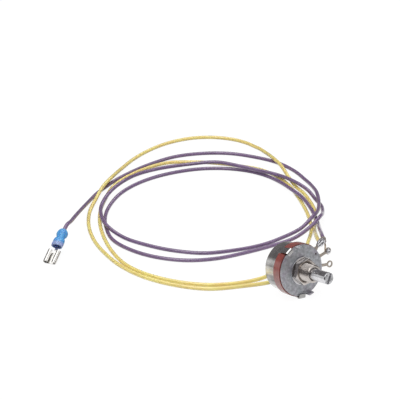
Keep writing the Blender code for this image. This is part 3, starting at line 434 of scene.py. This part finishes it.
def break_edges(work, width):
    """Rounds the clear edges of a closed shape."""
    edges = [e for e in work.edges if e.is_manifold and e.calc_face_angle(0.0) > radians(EDGE)]
    bevel(work, edges, width, 2)
    return work


def dress_node(node, name, material, body=CASE, edge=None):
    """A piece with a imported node's own shape, its edges broken as stamping and turning leave them."""
    sizes = bpy.context.scene.potentiometer_sizes
    work = break_edges(node_copy(node), sizes.edge_break if edge is None else edge)
    return weighted(add_piece(name, work, material, body, (node,), sharp=SHARP))


def revolve(profile, segments):
    """A shape turned about Z from a profile of (radius, z) in millimetres."""
    work = bmesh.new()
    verts = [work.verts.new((r * MM, 0.0, z * MM)) for r, z in profile]
    edges = [work.edges.new(pair) for pair in zip(verts, verts[1:])]
    bmesh.ops.spin(
        work, geom=verts + edges, cent=(0, 0, 0), axis=(0, 0, 1), angle=2 * pi, steps=segments, use_merge=True
    )
    return closed(work)


def tube_curve(name, routes, radius, sides):
    """Round wires along the routes, as one curve."""
    curve = bpy.data.curves.new(name, "CURVE")
    curve.dimensions = "3D"
    curve.bevel_depth = radius
    curve.bevel_resolution = sides // 2 - 2
    curve.use_fill_caps = True
    for route in routes:
        spline = curve.splines.new("POLY")
        spline.points.add(len(route) - 1)
        for point, place in zip(spline.points, route):
            point.co = (*place, 1.0)
        spline.use_smooth = True
    item = bpy.data.objects.new(name, curve)
    bpy.context.scene.collection.objects.link(item)
    return item


# Materials


def plated_zinc(tint):
    """Matt passivated zinc: a mottled grey with faint tints and a fine orange peel."""
    look = Finish("zinc_plate")
    spot = look.place(POT)
    mottle = look.noise(spot, 1.6, 4.0, 0.6)
    grain = look.noise(spot, 0.22, 3.0, 0.6)
    drift = look.noise(spot, 5.0, 2.0, 0.5)
    tone = (mottle * 0.7 + grain * 0.3).step(0.36, 0.66)
    grey = look.mixed(tone, [c * 0.66 for c in tint], [c * 1.2 for c in tint])
    violet = look.mixed(drift.step(0.45, 0.75) * 0.35, grey, screen_colour(160, 140, 168))
    tinted = look.mixed(drift.step(0.5, 0.25) * 0.25, violet, screen_colour(128, 152, 158))
    height = grain * 0.7 + mottle * 0.3
    look.surface(
        base_color=tinted,
        metallic=0.6,
        roughness=0.36 + mottle * 0.2,
        normal=look.bump(height, 0.05, 0.6),
    )


def bright_plating(name, tint, roughness, axis_lines, wear_and_painted_shade=None):
    """Bright plating over turned or drawn metal: fine lines, smears, small pits, and darkening by any given
    mask, which is wear on the shaft's tip and painted shade on the cover.
    """
    look = Finish(name)
    spot = look.place(POT)
    lines = look.noise(look.stretched(spot, axis_lines), 0.35, 4.0, 0.7)
    smear = look.noise(spot, 2.4, 3.0, 0.55)
    pits = look.cells(spot, 0.5)
    tone = (smear * 0.6 + lines * 0.4).step(0.3, 0.72)
    base = look.mixed(tone, [c * 0.78 for c in tint], tint)
    shown = look.mixed(1.0 - pits.step(0.06, 0.16), base, [c * 0.55 for c in tint])
    # Darkens where the mask says: wear on the shaft's tip, painted shade on the cover
    if wear_and_painted_shade is not None:
        shown = look.mixed(wear_and_painted_shade(look, spot), shown, [c * 0.2 for c in tint])
    look.surface(
        base_color=shown,
        metallic=1.0,
        roughness=roughness + lines * 0.12 + smear * 0.06,
        normal=look.bump(lines * 0.7 + smear * 0.3, 0.03, 0.5),
    )


def cover_streaks_and_painted_shade(look, spot):
    """Painted shade on the drawn cover in place of darker reflections, low on its left side, towards its
    front and on its lower ear, over faint dull streaks along it.
    """
    x, y, z = look.parts(spot)
    # Angle about the shaft, from the left side upwards
    turn = look.math("ARCTAN2", y, 0.0 - x)
    bands = look.noise(look.stretched(spot, (1.0, 1.0, 0.12)), 2.6, 3.0, 0.6)
    # Painted shade: a dark band low on the left side
    low = (turn + bands * 0.25).step(0.12, 0.0) * (turn + bands * 0.3).step(-0.55, -0.35)
    above = (turn + bands * 0.2).step(-0.45, -0.15)
    upper_ear = z.step(-0.3 * MM, 0.3 * MM) * y.step(0.0, MM)
    # Painted shade on the lower ear, and towards the front everywhere but the upper ear
    lower_ear_painted_shade = z.step(-1.2 * MM, -0.4 * MM) * y.step(0.0, -MM)
    front_painted_shade = z.step(-12.5 * MM, -9.5 * MM) * (1.0 - upper_ear)
    # Faint dull streaks, and the painted front shade broken up by the same bands
    dull = bands.step(0.45, 0.7) * 0.2 + front_painted_shade * bands * 0.4
    return (low * 0.6 + dull * above + lower_ear_painted_shade * 0.6).held()


def tip_wear(look, spot):
    """Dark rubbed patches on the shaft's slotted end."""
    _, _, z = look.parts(spot)
    patches = look.noise(spot, 1.3, 2.0, 0.6)
    return z.step(21.6 * MM, 21.9 * MM) * (patches.step(0.43, 0.58) * 0.55 + 0.1)


def phenolic_moulding(tint):
    """Glossy red-brown phenolic with clouds, fibres and pale filler specks."""
    look = Finish("phenolic")
    spot = look.place(POT)
    speck = look.noise(spot, 0.35, 4.0, 0.7)
    cloud = look.noise(spot, 3.0, 3.0, 0.5)
    fibre = look.noise(look.stretched(spot, (1.0, 1.0, 4.0)), 0.6, 3.0, 0.6)
    tone = (cloud * 0.5 + fibre * 0.5).step(0.35, 0.65)
    base = look.mixed(tone, [c * 0.72 for c in tint], [c * 1.15 for c in tint])
    flecked = look.mixed(speck.step(0.6, 0.74) * 0.6, base, screen_colour(196, 128, 112))
    look.surface(
        base_color=flecked,
        roughness=0.42 + speck * 0.2,
        coat_weight=1.0,
        coat_roughness=0.14,
        coat_ior=1.7,
        normal=look.bump(speck * 0.6 + fibre * 0.4, 0.04, 0.5),
    )


def insulation(name, tint, sheen):
    """Soft glossy PVC with slow changes of tone and a faint drag from the extruder."""
    look = Finish(name)
    spot = look.place()
    cloud = look.noise(spot, 9.0, 3.0, 0.5)
    drag = look.noise(spot, 0.8, 3.0, 0.6)
    pale = [min(1.0, c * 1.1) for c in tint]
    base = look.mixed(cloud.step(0.3, 0.7), [c * 0.95 for c in tint], pale)
    marked = look.mixed(drag.step(0.62, 0.8) * 0.25, base, [c * 0.8 for c in tint])
    look.surface(
        base_color=marked,
        roughness=0.3 + drag * 0.14,
        coat_weight=1.0,
        coat_roughness=0.12,
        subsurface_weight=sheen,
        subsurface_radius=(0.6 * MM, 0.5 * MM, 0.4 * MM),
        subsurface_scale=1.0,
        normal=look.bump(drag, 0.03, 0.4),
    )


def moulded_nylon(prefix, tint):
    """Translucent blue nylon, paler towards the thin mouth of the lead's sleeve."""
    look = Finish(prefix + "_sleeve_nylon")
    spot = look.place(connector_matrix(prefix))
    along, _, _ = look.parts(spot)
    cloud = look.noise(spot, 2.2, 3.0, 0.5)
    grain = look.noise(spot, 0.35, 2.0, 0.5)
    pale = [min(1.0, c * 1.15 + 0.02) for c in tint]
    base = look.mixed(cloud.step(0.3, 0.7), [c * 0.82 for c in tint], pale)
    clearer = look.mixed(along.step(8.2 * MM, 10.4 * MM) * 0.8, base, screen_colour(178, 184, 226))
    look.surface(
        base_color=clearer,
        roughness=0.26 + grain * 0.12,
        transmission_weight=0.12,
        ior=1.5,
        subsurface_weight=0.25,
        subsurface_radius=(0.4 * MM, 0.8 * MM, 1.4 * MM),
        subsurface_scale=1.0,
        normal=look.bump(grain, 0.03, 0.5),
    )


def tinned_metal(name, tint, roughness, drops):
    """Bright tin over brass or copper: soft waves, a fine frost and dull patches."""
    look = Finish(name)
    spot = look.place()
    wave = look.noise(spot, 1.1, 3.0, 0.5)
    frost = look.noise(spot, 0.16, 3.0, 0.6)
    base = look.mixed(wave.step(0.35, 0.7), [c * 0.82 for c in tint], tint)
    dull = look.mixed(frost.step(0.6, 0.78) * 0.4, base, [c * 0.6 for c in tint])
    look.surface(
        base_color=dull,
        metallic=1.0,
        roughness=roughness + frost * 0.16,
        normal=look.bump(wave * drops + frost * (1.0 - drops), 0.05, 0.5),
    )


def plain_moulding(name, tint, roughness):
    """A dark inner moulding with a fine grain."""
    look = Finish(name)
    grain = look.noise(look.place(), 0.4, 3.0, 0.6)
    base = look.mixed(grain.step(0.35, 0.65), [c * 0.8 for c in tint], [c * 1.2 for c in tint])
    look.surface(
        base_color=base,
        roughness=roughness + grain * 0.2,
        normal=look.bump(grain, 0.03, 0.5),
    )


def make_finishes():
    colours = bpy.context.scene.potentiometer_colours
    tint = {name: tuple(getattr(colours, name)) for name in colours.__annotations__}
    plated_zinc(tint["zinc"])
    bright_plating("nickel_brass", tint["nickel"], 0.16, (1.0, 1.0, 3.0))
    bright_plating("steel", tint["steel"], 0.12, (1.0, 1.0, 6.0), tip_wear)
    # The cover's finish takes painted shade as well as dull streaks
    bright_plating("bright_cover", tint["cover"], 0.15, (3.0, 3.0, 0.5), cover_streaks_and_painted_shade)
    phenolic_moulding(tint["phenolic"])
    tinned_metal("tinned_brass", tint["tinned"], 0.2, 0.6)
    tinned_metal("dull_tin", tint["terminal"], 0.26, 0.6)
    tinned_metal("solder", tint["solder"], 0.1, 0.9)
    tinned_metal("tinned_copper", tint["strands"], 0.22, 0.4)
    tinned_metal("resistance_wire", tint["winding"], 0.3, 0.3)
    insulation("purple_insulation", tint["purple"], 0.08)
    insulation("yellow_insulation", tint["yellow"], 0.12)
    for prefix in ROUTES:
        moulded_nylon(prefix, tint["sleeve"])
    plain_moulding("rotor_moulding", tint["rotor"], 0.45)


def finish_of(name):
    return Finish.made[name]


# Pieces


class POTENTIOMETER_OT_leads(bpy.types.Operator):
    """The two hook-up leads in their loops on the table"""

    bl_idname = "potentiometer.leads"
    bl_label = "Leads"

    def execute(self, context):
        diameter = context.scene.potentiometer_sizes.lead_diameter
        for prefix, route in ROUTES.items():
            points = smooth_route(route, LEAD_SPACING * MM)[STRIPPED[prefix]:]
            for point in points:
                point.z = max(point.z, diameter / 2)
                point.x = min(point.x, CAD_BOX[1].x - diameter / 2)
            finish = prefix + "_insulation"
            lead = tube_curve(prefix + "_hookup_wire", [points], diameter / 2, 16)
            dress(lead, finish_of(finish), CASE, (prefix + "_lead",))
            path_length(points)
        return {"FINISHED"}


class POTENTIOMETER_OT_strands(bpy.types.Operator):
    """The bare twisted strands at the terminals"""

    bl_idname = "potentiometer.strands"
    bl_label = "Bare strands"

    # Spacing of the points, outer strands, their turn from point to point, and their lay in strand radii
    spacing = 0.2
    outer_strands = 6
    twist = 0.16
    lay = 1.9

    def execute(self, context):
        radius = context.scene.potentiometer_sizes.strand_diameter / 2
        for prefix, route in CONDUCTORS.items():
            stripped = smooth_route(ROUTES[prefix], LEAD_SPACING * MM)[STRIPPED[prefix]:0:-1]
            points = smooth_route([point / MM for point in stripped] + list(route), self.spacing * MM)
            strands = [points]
            for strand in range(self.outer_strands):
                turned = []
                for index, point in enumerate(points):
                    ahead = points[min(index + 1, len(points) - 1)]
                    along = (ahead - points[max(index - 1, 0)]).normalized()
                    side = along.orthogonal().normalized()
                    angle = strand * 2 * pi / self.outer_strands + index * self.twist
                    offset = side * cos(angle) + along.cross(side) * sin(angle)
                    turned.append(point + offset * radius * self.lay)
                strands.append(turned)
            piece = tube_curve(prefix + "_strands", strands, radius, 8)
            dress(piece, finish_of("tinned_copper"), CASE, (prefix + "_conductor",))
        return {"FINISHED"}


class POTENTIOMETER_OT_sleeves(bpy.types.Operator):
    """The blue insulating sleeves, crimped at the waist and flared at the mouth"""

    bl_idname = "potentiometer.sleeves"
    bl_label = "Insulating sleeves"

    # Along the sleeve: place, half width, half height
    stations = (
        (0.0, 1.5, 1.5), (0.2, 1.85, 1.85), (0.6, 2.2, 2.15), (1.1, 2.65, 2.35), (1.7, 3.0, 2.43),
        (2.4, 3.2, 2.47), (3.1, 3.28, 2.48), (3.8, 3.22, 2.42), (4.4, 2.98, 2.24), (4.9, 2.68, 2.0),
        (5.3, 2.48, 1.82), (5.6, 2.46, 1.8), (5.9, 2.58, 1.92), (6.4, 2.85, 2.16), (7.0, 3.12, 2.36),
        (7.7, 3.28, 2.45), (8.6, 3.36, 2.48), (9.6, 3.38, 2.48), (10.5, 3.33, 2.46), (11.2, 3.26, 2.42),
        (11.6, 3.2, 2.36),
    )
    wall = 0.5
    # The lead's hole: how deep it goes, and its radius
    entry_depth = 0.35
    entry_radius = 1.12
    segments = 40

    def execute(self, context):
        for prefix in ROUTES:
            work = bmesh.new()
            outer = self.stations
            inner = tuple((x, w - self.wall, h - self.wall) for x, w, h in reversed(outer[1:]))
            inner += tuple((x, self.entry_radius, self.entry_radius) for x in (self.entry_depth, 0.0))
            bmesh.ops.create_circle(work, cap_ends=False, segments=self.segments, radius=1.0)
            ring = work.edges[:]
            # Each point of the newest ring with its place on a circle of radius 1
            units = {vert: vert.co.copy() for vert in work.verts}
            self.shape_ring(units, outer[0])
            for station in outer[1:] + inner:
                made = bmesh.ops.extrude_edge_only(work, edges=ring)["geom"]
                verts = [item for item in made if isinstance(item, bmesh.types.BMVert)]
                edges = [item for item in made if isinstance(item, bmesh.types.BMEdge)]
                grown = {}
                for vert in verts:
                    others = [edge.other_vert(vert) for edge in vert.link_edges]
                    grown[vert] = units[next(other for other in others if other in units)]
                ring = [edge for edge in edges if all(vert in grown for vert in edge.verts)]
                units = grown
                self.shape_ring(units, station)
            open_edges = [e for e in work.edges if e.is_boundary]
            bmesh.ops.bridge_loops(work, edges=open_edges)
            closed(work)
            add_piece(
                prefix + "_crimp_sleeve", work, finish_of(prefix + "_sleeve_nylon"), CASE,
                (prefix + "_sleeve",), connector_matrix(prefix), sharp=60.0,
            )
        return {"FINISHED"}

    @staticmethod
    def shape_ring(units, station):
        place, wide, high = station
        for vert, unit in units.items():
            vert.co = (place * MM, unit.x * wide * MM, unit.y * high * MM)


class POTENTIOMETER_OT_receptacles(bpy.types.Operator):
    """The push-on receptacles with their rolled edges"""

    bl_idname = "potentiometer.receptacles"
    bl_label = "Receptacles"

    def execute(self, context):
        for prefix in ROUTES:
            dress_node(
                prefix + "_receptacle", prefix + "_push_on_receptacle", finish_of("tinned_brass"),
                edge=0.06 * MM,
            )
        return {"FINISHED"}


class POTENTIOMETER_OT_bushing(bpy.types.Operator):
    """The threaded bushing, its thread cut as a true helix"""

    bl_idname = "potentiometer.bushing"
    bl_label = "Threaded bushing"

    crest = 4.76
    bore = 3.4
    bore_chamfer = 0.25
    neck = 4.35
    front = 10.4
    chamfer = 0.5
    thread_start = 0.3
    # Turns of thread that are cut away again at either end
    overrun = 1.5
    # The flange behind the plate: radius, and place along the axis
    flange = ((6.0, -1.9), (6.1, -1.8), (6.1, -1.3), (6.0, -1.2))
    segments = 72

    def execute(self, context):
        sizes = context.scene.potentiometer_sizes
        work = self.threaded(sizes.thread_pitch / MM, sizes.thread_depth / MM)
        self.close_ends(work)
        nickel = finish_of("nickel_brass")
        add_piece("threaded_sleeve", work, nickel, place=POT)
        mouth = self.bore + self.bore_chamfer
        rear = self.flange[0][1]
        profile = ((mouth, self.front), (self.bore, self.front - self.bore_chamfer), (self.bore, rear))
        profile += self.flange + ((self.neck, self.flange[-1][1]), (self.neck, self.thread_start))
        body = revolve(profile, self.segments)
        if self.inward(body):
            bmesh.ops.reverse_faces(body, faces=body.faces)
        add_piece("bushing_body", body, nickel, CASE, ("bushing",), POT)
        return {"FINISHED"}

    def threaded(self, pitch, depth):
        """The thread as an open tube between its start and the front, chamfered at the front."""
        work = bmesh.new()
        root = self.crest - depth
        # One turn of the thread: radius, and height as a share of the pitch
        shape = (
            (root, 0.0), (root, 0.1), (self.crest, 0.45), (self.crest, 0.6), (root, 0.95), (root, 1.0),
        )
        start = self.thread_start - pitch * self.overrun
        verts = [work.verts.new((r * MM, 0.0, (start + z * pitch) * MM)) for r, z in shape]
        edges = [work.edges.new(pair) for pair in zip(verts, verts[1:])]
        turns = ceil((self.front - self.thread_start) / pitch) + int(2 * self.overrun)
        bmesh.ops.spin(
            work, geom=verts + edges, cent=(0, 0, 0), axis=(0, 0, 1),
            dvec=(0, 0, pitch * MM / self.segments), angle=2 * pi * turns, steps=self.segments * turns,
        )
        bmesh.ops.remove_doubles(work, verts=work.verts, dist=4 * MERGE)
        for level, clear in ((self.thread_start, "clear_inner"), (self.front, "clear_outer")):
            geometry = work.verts[:] + work.edges[:] + work.faces[:]
            bmesh.ops.bisect_plane(
                work, geom=geometry, plane_co=(0, 0, level * MM), plane_no=(0, 0, 1), **{clear: True}
            )
        for vert in work.verts:
            limit = (self.crest - max(0.0, vert.co.z / MM - self.front + self.chamfer)) * MM
            radius = vert.co.xy.length
            if radius > limit:
                vert.co.xy *= limit / radius
        return work

    def close_ends(self, work):
        """Flat rings from the thread's cut ends to the neck and to the bore's mouth."""
        for level, inner in ((self.thread_start, self.neck), (self.front, self.bore + self.bore_chamfer)):
            open_edges = [e for e in work.edges if e.is_boundary]
            rim = [e for e in open_edges if all(abs(v.co.z - level * MM) < MERGE / 10 for v in e.verts)]
            made = bmesh.ops.create_circle(
                work, cap_ends=False, segments=self.segments, radius=inner * MM
            )
            bmesh.ops.translate(work, verts=made["verts"], vec=(0, 0, level * MM))
            ring = list({e for v in made["verts"] for e in v.link_edges})
            bmesh.ops.bridge_loops(work, edges=rim + ring)
        closed(work)

    @staticmethod
    def inward(work):
        """Whether the bore's faces point away from the axis."""
        work.faces.ensure_lookup_table()
        face = min(work.faces, key=lambda f: f.calc_center_median().xy.length)
        return face.normal.xy.dot(face.calc_center_median().xy) > 0.0


class POTENTIOMETER_OT_hardware(bpy.types.Operator):
    """The hex nut and the lock washer"""

    bl_idname = "potentiometer.hardware"
    bl_label = "Nut and washer"

    # The dish around the nut's hole: its width and depth, the radius within which the hole's rim lies,
    # and how far off a height still counts as that height
    dish_width = 1.1
    dish_depth = 0.45
    hole_reach = 5.3
    play = 0.1

    def execute(self, context):
        nut = node_copy("hex_nut")
        bmesh.ops.transform(nut, matrix=POT.inverted(), verts=nut.verts)
        front = max(vert.co.z for vert in nut.verts)
        reach = self.hole_reach * MM
        bevel(nut, level_edges(nut, reach, front - self.play * MM, front + MM), self.dish_width * MM, 1)
        for vert in nut.verts:
            if vert.co.xy.length < reach and vert.co.z > front - (self.dish_width + self.play) * MM:
                vert.co.z = front - self.dish_depth * MM
        break_edges(nut, 0.12 * MM)
        nickel = finish_of("nickel_brass")
        weighted(add_piece("panel_nut", nut, nickel, CASE, ("hex_nut",), POT, SHARP))
        dress_node("lock_washer", "toothed_washer", finish_of("steel"), edge=0.08 * MM)
        return {"FINISHED"}


class POTENTIOMETER_OT_case(bpy.types.Operator):
    """The front plate, the phenolic base and the rear cover with its ears"""

    bl_idname = "potentiometer.case"
    bl_label = "Case"

    # Radius beyond which each rim moves, and how far outwards
    plate_rim = (13.9, -0.35)
    base_rim = (13.5, 0.3)

    def execute(self, context):
        plate = dress_node("front_plate", "face_plate", finish_of("zinc_plate"))
        self.move_rim(plate, *self.plate_rim)
        base = dress_node("phenolic_base", "moulded_base", finish_of("phenolic"), edge=0.12 * MM)
        self.move_rim(base, *self.base_rim)
        cover = finish_of("bright_cover")
        dress_node("rear_cover", "drawn_cover", cover, edge=0.08 * MM)
        return {"FINISHED"}

    @staticmethod
    def move_rim(piece, beyond, step):
        """Moves a round piece's rim in or out, so that the base shows as a thin line around the plate."""
        back = POT.inverted()
        for vert in piece.data.vertices:
            spot = back @ vert.co
            reach = spot.xy.length
            if reach > beyond * MM:
                spot.xy *= (reach + step * MM) / reach
                vert.co = POT @ spot


class POTENTIOMETER_OT_spindle(bpy.types.Operator):
    """The slotted shaft, its retaining ring, the rotor and the wiper"""

    bl_idname = "potentiometer.spindle"
    bl_label = "Spindle"

    def execute(self, context):
        steel = finish_of("steel")
        dress_node("shaft", "slotted_shaft", steel, SPINDLE, 0.06 * MM)
        dress_node("retaining_ring", "shaft_clip", steel, SPINDLE, 0.05 * MM)
        dress_node("rotor", "rotor_disc", finish_of("rotor_moulding"), SPINDLE)
        dress_node("wiper", "contact_spring", finish_of("tinned_brass"), SPINDLE, 0.03 * MM)
        return {"FINISHED"}


class POTENTIOMETER_OT_terminals(bpy.types.Operator):
    """The three solder terminals with their rivets, and the wound element inside"""

    bl_idname = "potentiometer.terminals"
    bl_label = "Terminals and element"

    def execute(self, context):
        tin = finish_of("dull_tin")
        wire = finish_of("resistance_wire")
        for place in ("upper", "wiper", "lower"):
            dress_node("terminal_" + place, "solder_lug_" + place, tin, edge=0.06 * MM)
            dress_node("rivet_" + place, "lug_rivet_" + place, tin, edge=0.04 * MM)
        dress_node("resistance_element", "wound_card", wire, edge=0.02 * MM)
        return {"FINISHED"}


class POTENTIOMETER_OT_solder(bpy.types.Operator):
    """The flowed solder on the two wired terminals"""

    bl_idname = "potentiometer.solder"
    bl_label = "Solder joints"

    # Angle of the terminal, stretch along it, shift towards the base, share of the thickness
    joints = {"upper": (32.0, 2.1, 2.1, 0.85), "wiper": (12.2, 1.15, 0.2, 0.9)}
    # The terminals' eyelets: distance from the shaft's axis, and place along it
    eyelet_place = 21.6
    level = -2.75
    smoothings = 6
    # The dimple over the eyelet: its share of the height, and its squared width
    dimple = 0.55
    dimple_width = 0.4
    lump_height = 0.22
    lumps_per_metre = 900.0

    def execute(self, context):
        for place, (angle, stretch, shift, thin) in self.joints.items():
            frame = POT @ Matrix.Rotation(radians(angle), 4, "Z") @ Matrix.Translation(
                (self.eyelet_place * MM, 0.0, self.level * MM)
            )
            work = node_copy("solder_" + place)
            bmesh.ops.transform(work, matrix=frame.inverted(), verts=work.verts)
            bmesh.ops.triangulate(work, faces=work.faces)
            bmesh.ops.subdivide_edges(work, edges=work.edges, cuts=2, use_grid_fill=True)
            for _ in range(self.smoothings):
                bmesh.ops.smooth_vert(
                    work, verts=work.verts, factor=0.5, use_axis_x=True, use_axis_y=True, use_axis_z=True
                )
            for vert in work.verts:
                u, v, w = vert.co / MM
                near = exp(-(u * u + v * v) / self.dimple_width)
                lump = noise.noise(vert.co * self.lumps_per_metre) * self.lump_height
                w *= thin * (1.0 - (self.dimple * near if w > 0.0 else 0.0)) + lump
                vert.co = Vector((u * stretch - shift + lump, v + lump, w)) * MM
            bmesh.ops.transform(work, matrix=frame, verts=work.verts)
            closed(work)
            piece = add_piece(
                "solder_joint_" + place, work, finish_of("solder"), CASE, ("solder_" + place,),
                sharp=180.0,
            )
            surface = piece.modifiers.new("surface", "SUBSURF")
            surface.levels = surface.render_levels = 1
        return {"FINISHED"}


class POTENTIOMETER_OT_stage(bpy.types.Operator):
    """The white table, the soft studio light and the camera"""

    bl_idname = "potentiometer.stage"
    bl_label = "Stage"

    # Name, place and size in metres, power in watts
    lamps = (
        ("key", (-0.55, -0.25, 0.95), 0.7, 4.6),
        ("fill", (0.75, -0.6, 0.7), 0.6, 1.6),
        ("top", (0.05, 0.35, 1.1), 0.8, 2.9),
        ("back", (0.66, 0.63, 0.62), 0.35, 0.7),
    )
    lamp_target = (0.0, 0.06, 0.0)
    table_reach = 2.0
    # The table's white, seen and mirrored: the share of light that it takes, and its own glow
    seen_white = (0.12, 0.93)
    mirrored_white = (0.3, 0.78)
    # Between these distances, in metres, the mirrored table turns from white to the room's grey
    near_table = 0.04
    far_table = 0.24
    far_grey = (0.3, 0.29, 0.29)
    # The mirrored room: dark walls, and a ceiling that turns pale between these heights of a ray
    wall_shade = (0.13, 0.122, 0.126)
    ceiling_shade = (0.86, 0.86, 0.86)
    ceiling_from = 0.62
    ceiling_to = 0.92
    # Its bright panel: direction along -X, Y and Z, and the cosines between which the panel's edge fades
    panel_direction = (0.66, 0.74, 0.12)
    panel_edge = (0.965, 0.99)

    def execute(self, context):
        self.table()
        self.surroundings(context.scene)
        for lamp in self.lamps:
            self.lamp(*lamp)
        camera = bpy.data.objects.new("camera", bpy.data.cameras.new("camera"))
        context.scene.collection.objects.link(camera)
        camera.location = CAMERA_PLACE
        camera.rotation_euler = (radians(90.0 - CAMERA_DROP), 0.0, radians(CAMERA_HEADING))
        camera.data.lens = CAMERA_LENS
        camera.data.sensor_width = CAMERA_SENSOR
        camera.data.clip_start = 0.01
        context.scene.camera = camera
        context.scene.view_settings.view_transform = "Standard"
        return {"FINISHED"}

    def table(self):
        """White to the camera, with faint shadows; mirrored in the metal, it turns grey far out."""
        work = bmesh.new()
        bmesh.ops.create_grid(work, x_segments=1, y_segments=1, size=self.table_reach)
        mesh = bpy.data.meshes.new("table")
        work.to_mesh(mesh)
        work.free()
        table = bpy.data.objects.new("table", mesh)
        bpy.context.scene.collection.objects.link(table)
        material = bpy.data.materials.new("white_table")
        material.use_nodes = True
        look = Recipe(material.node_tree)
        look.tree.nodes.clear()
        plain = look.node("ShaderNodeBsdfDiffuse", {}, {"Color": (0.8, 0.8, 0.8)})
        seen = self.lit(look, *self.seen_white)
        x, y, _ = look.parts(look.place())
        reach = look.distance(x, y)
        far = look.node("ShaderNodeEmission", {}, {"Color": self.far_grey, "Strength": 1.0})
        near = self.lit(look, *self.mirrored_white)
        nearness = reach.step(self.far_table, self.near_table)
        mirrored = look.node("ShaderNodeMixShader", {}, {0: nearness, 1: far, 2: near})
        glossy = look.math("MAXIMUM", look.ray("Is Glossy Ray"), look.ray("Is Transmission Ray"))
        unseen = look.node("ShaderNodeMixShader", {}, {0: glossy, 1: plain, 2: mirrored})
        shown = look.node("ShaderNodeMixShader", {}, {0: look.ray("Is Camera Ray"), 1: unseen, 2: seen})
        look.node("ShaderNodeOutputMaterial", {}, {"Surface": shown}, None)
        mesh.materials.append(material)

    @staticmethod
    def lit(look, share, strength):
        """A white that glows by itself and takes its shadows by the given share."""
        shaded = look.node("ShaderNodeBsdfDiffuse", {}, {"Color": (share, share, share)})
        glow = look.node("ShaderNodeEmission", {}, {"Color": (1.0, 1.0, 1.0), "Strength": strength})
        return look.node("ShaderNodeAddShader", {}, {0: shaded, 1: glow})

    def surroundings(self, scene):
        """White for the camera, and a room with walls, ceiling and panel for everything else."""
        world = bpy.data.worlds.new("studio")
        scene.world = world
        world.use_nodes = True
        look = Recipe(world.node_tree)
        look.tree.nodes.clear()
        direction = look.node("ShaderNodeTexCoord", {}, {}, "Generated")
        x, y, height = look.parts(direction)
        left, away, up = self.panel_direction
        panel = (y * away - x * left + height * up).step(*self.panel_edge)
        ceiling = height.step(self.ceiling_from, self.ceiling_to)
        below = 1.0 - height.step(-0.02, 0.02)
        pale = look.math("MAXIMUM", look.math("MAXIMUM", ceiling, below), panel)
        tint = look.mixed(pale, self.wall_shade, self.ceiling_shade)
        room = look.node("ShaderNodeBackground", {}, {"Color": tint, "Strength": 1.0})
        white = look.node("ShaderNodeBackground", {}, {"Color": (1.0, 1.0, 1.0), "Strength": 1.0})
        shown = look.node("ShaderNodeMixShader", {}, {0: look.ray("Is Camera Ray"), 1: room, 2: white})
        look.node("ShaderNodeOutputWorld", {}, {"Surface": shown}, None)

    def lamp(self, name, place, size, power):
        """A square softbox that points at the potentiometer and its leads."""
        light = bpy.data.lights.new(name, "AREA")
        light.size = size
        light.energy = power
        item = bpy.data.objects.new(name, light)
        bpy.context.scene.collection.objects.link(item)
        item.location = place
        aim = Vector(self.lamp_target) - Vector(place)
        item.rotation_euler = aim.to_track_quat("-Z", "Y").to_euler()


class POTENTIOMETER_PT_panel(bpy.types.Panel):
    """Sizes, colours and the steps that dress the potentiometer"""

    bl_idname = "POTENTIOMETER_PT_panel"
    bl_label = "Potentiometer"
    bl_space_type = "VIEW_3D"
    bl_region_type = "UI"
    bl_category = "Potentiometer"

    def draw(self, context):
        for group in (context.scene.potentiometer_sizes, context.scene.potentiometer_colours):
            box = self.layout.box()
            for name in group.__annotations__:
                box.prop(group, name)
        column = self.layout.column(align=True)
        for operator in OPERATORS:
            column.operator(operator.bl_idname)


OPERATORS = (
    POTENTIOMETER_OT_stage,
    POTENTIOMETER_OT_case,
    POTENTIOMETER_OT_bushing,
    POTENTIOMETER_OT_hardware,
    POTENTIOMETER_OT_spindle,
    POTENTIOMETER_OT_terminals,
    POTENTIOMETER_OT_solder,
    POTENTIOMETER_OT_strands,
    POTENTIOMETER_OT_sleeves,
    POTENTIOMETER_OT_receptacles,
    POTENTIOMETER_OT_leads,
)
CLASSES = (PotentiometerSizes, PotentiometerColours) + OPERATORS + (POTENTIOMETER_PT_panel,)


def register():
    for item in CLASSES:
        bpy.utils.register_class(item)
    bpy.types.Scene.potentiometer_sizes = PointerProperty(type=PotentiometerSizes)
    bpy.types.Scene.potentiometer_colours = PointerProperty(type=PotentiometerColours)


def unregister():
    del bpy.types.Scene.potentiometer_colours
    del bpy.types.Scene.potentiometer_sizes
    for item in reversed(CLASSES):
        bpy.utils.unregister_class(item)


def main():
    register()
    make_finishes()
    for operator in OPERATORS:
        getattr(bpy.ops.potentiometer, operator.bl_idname.split(".")[1])()


if __name__ == "__main__":
    main()
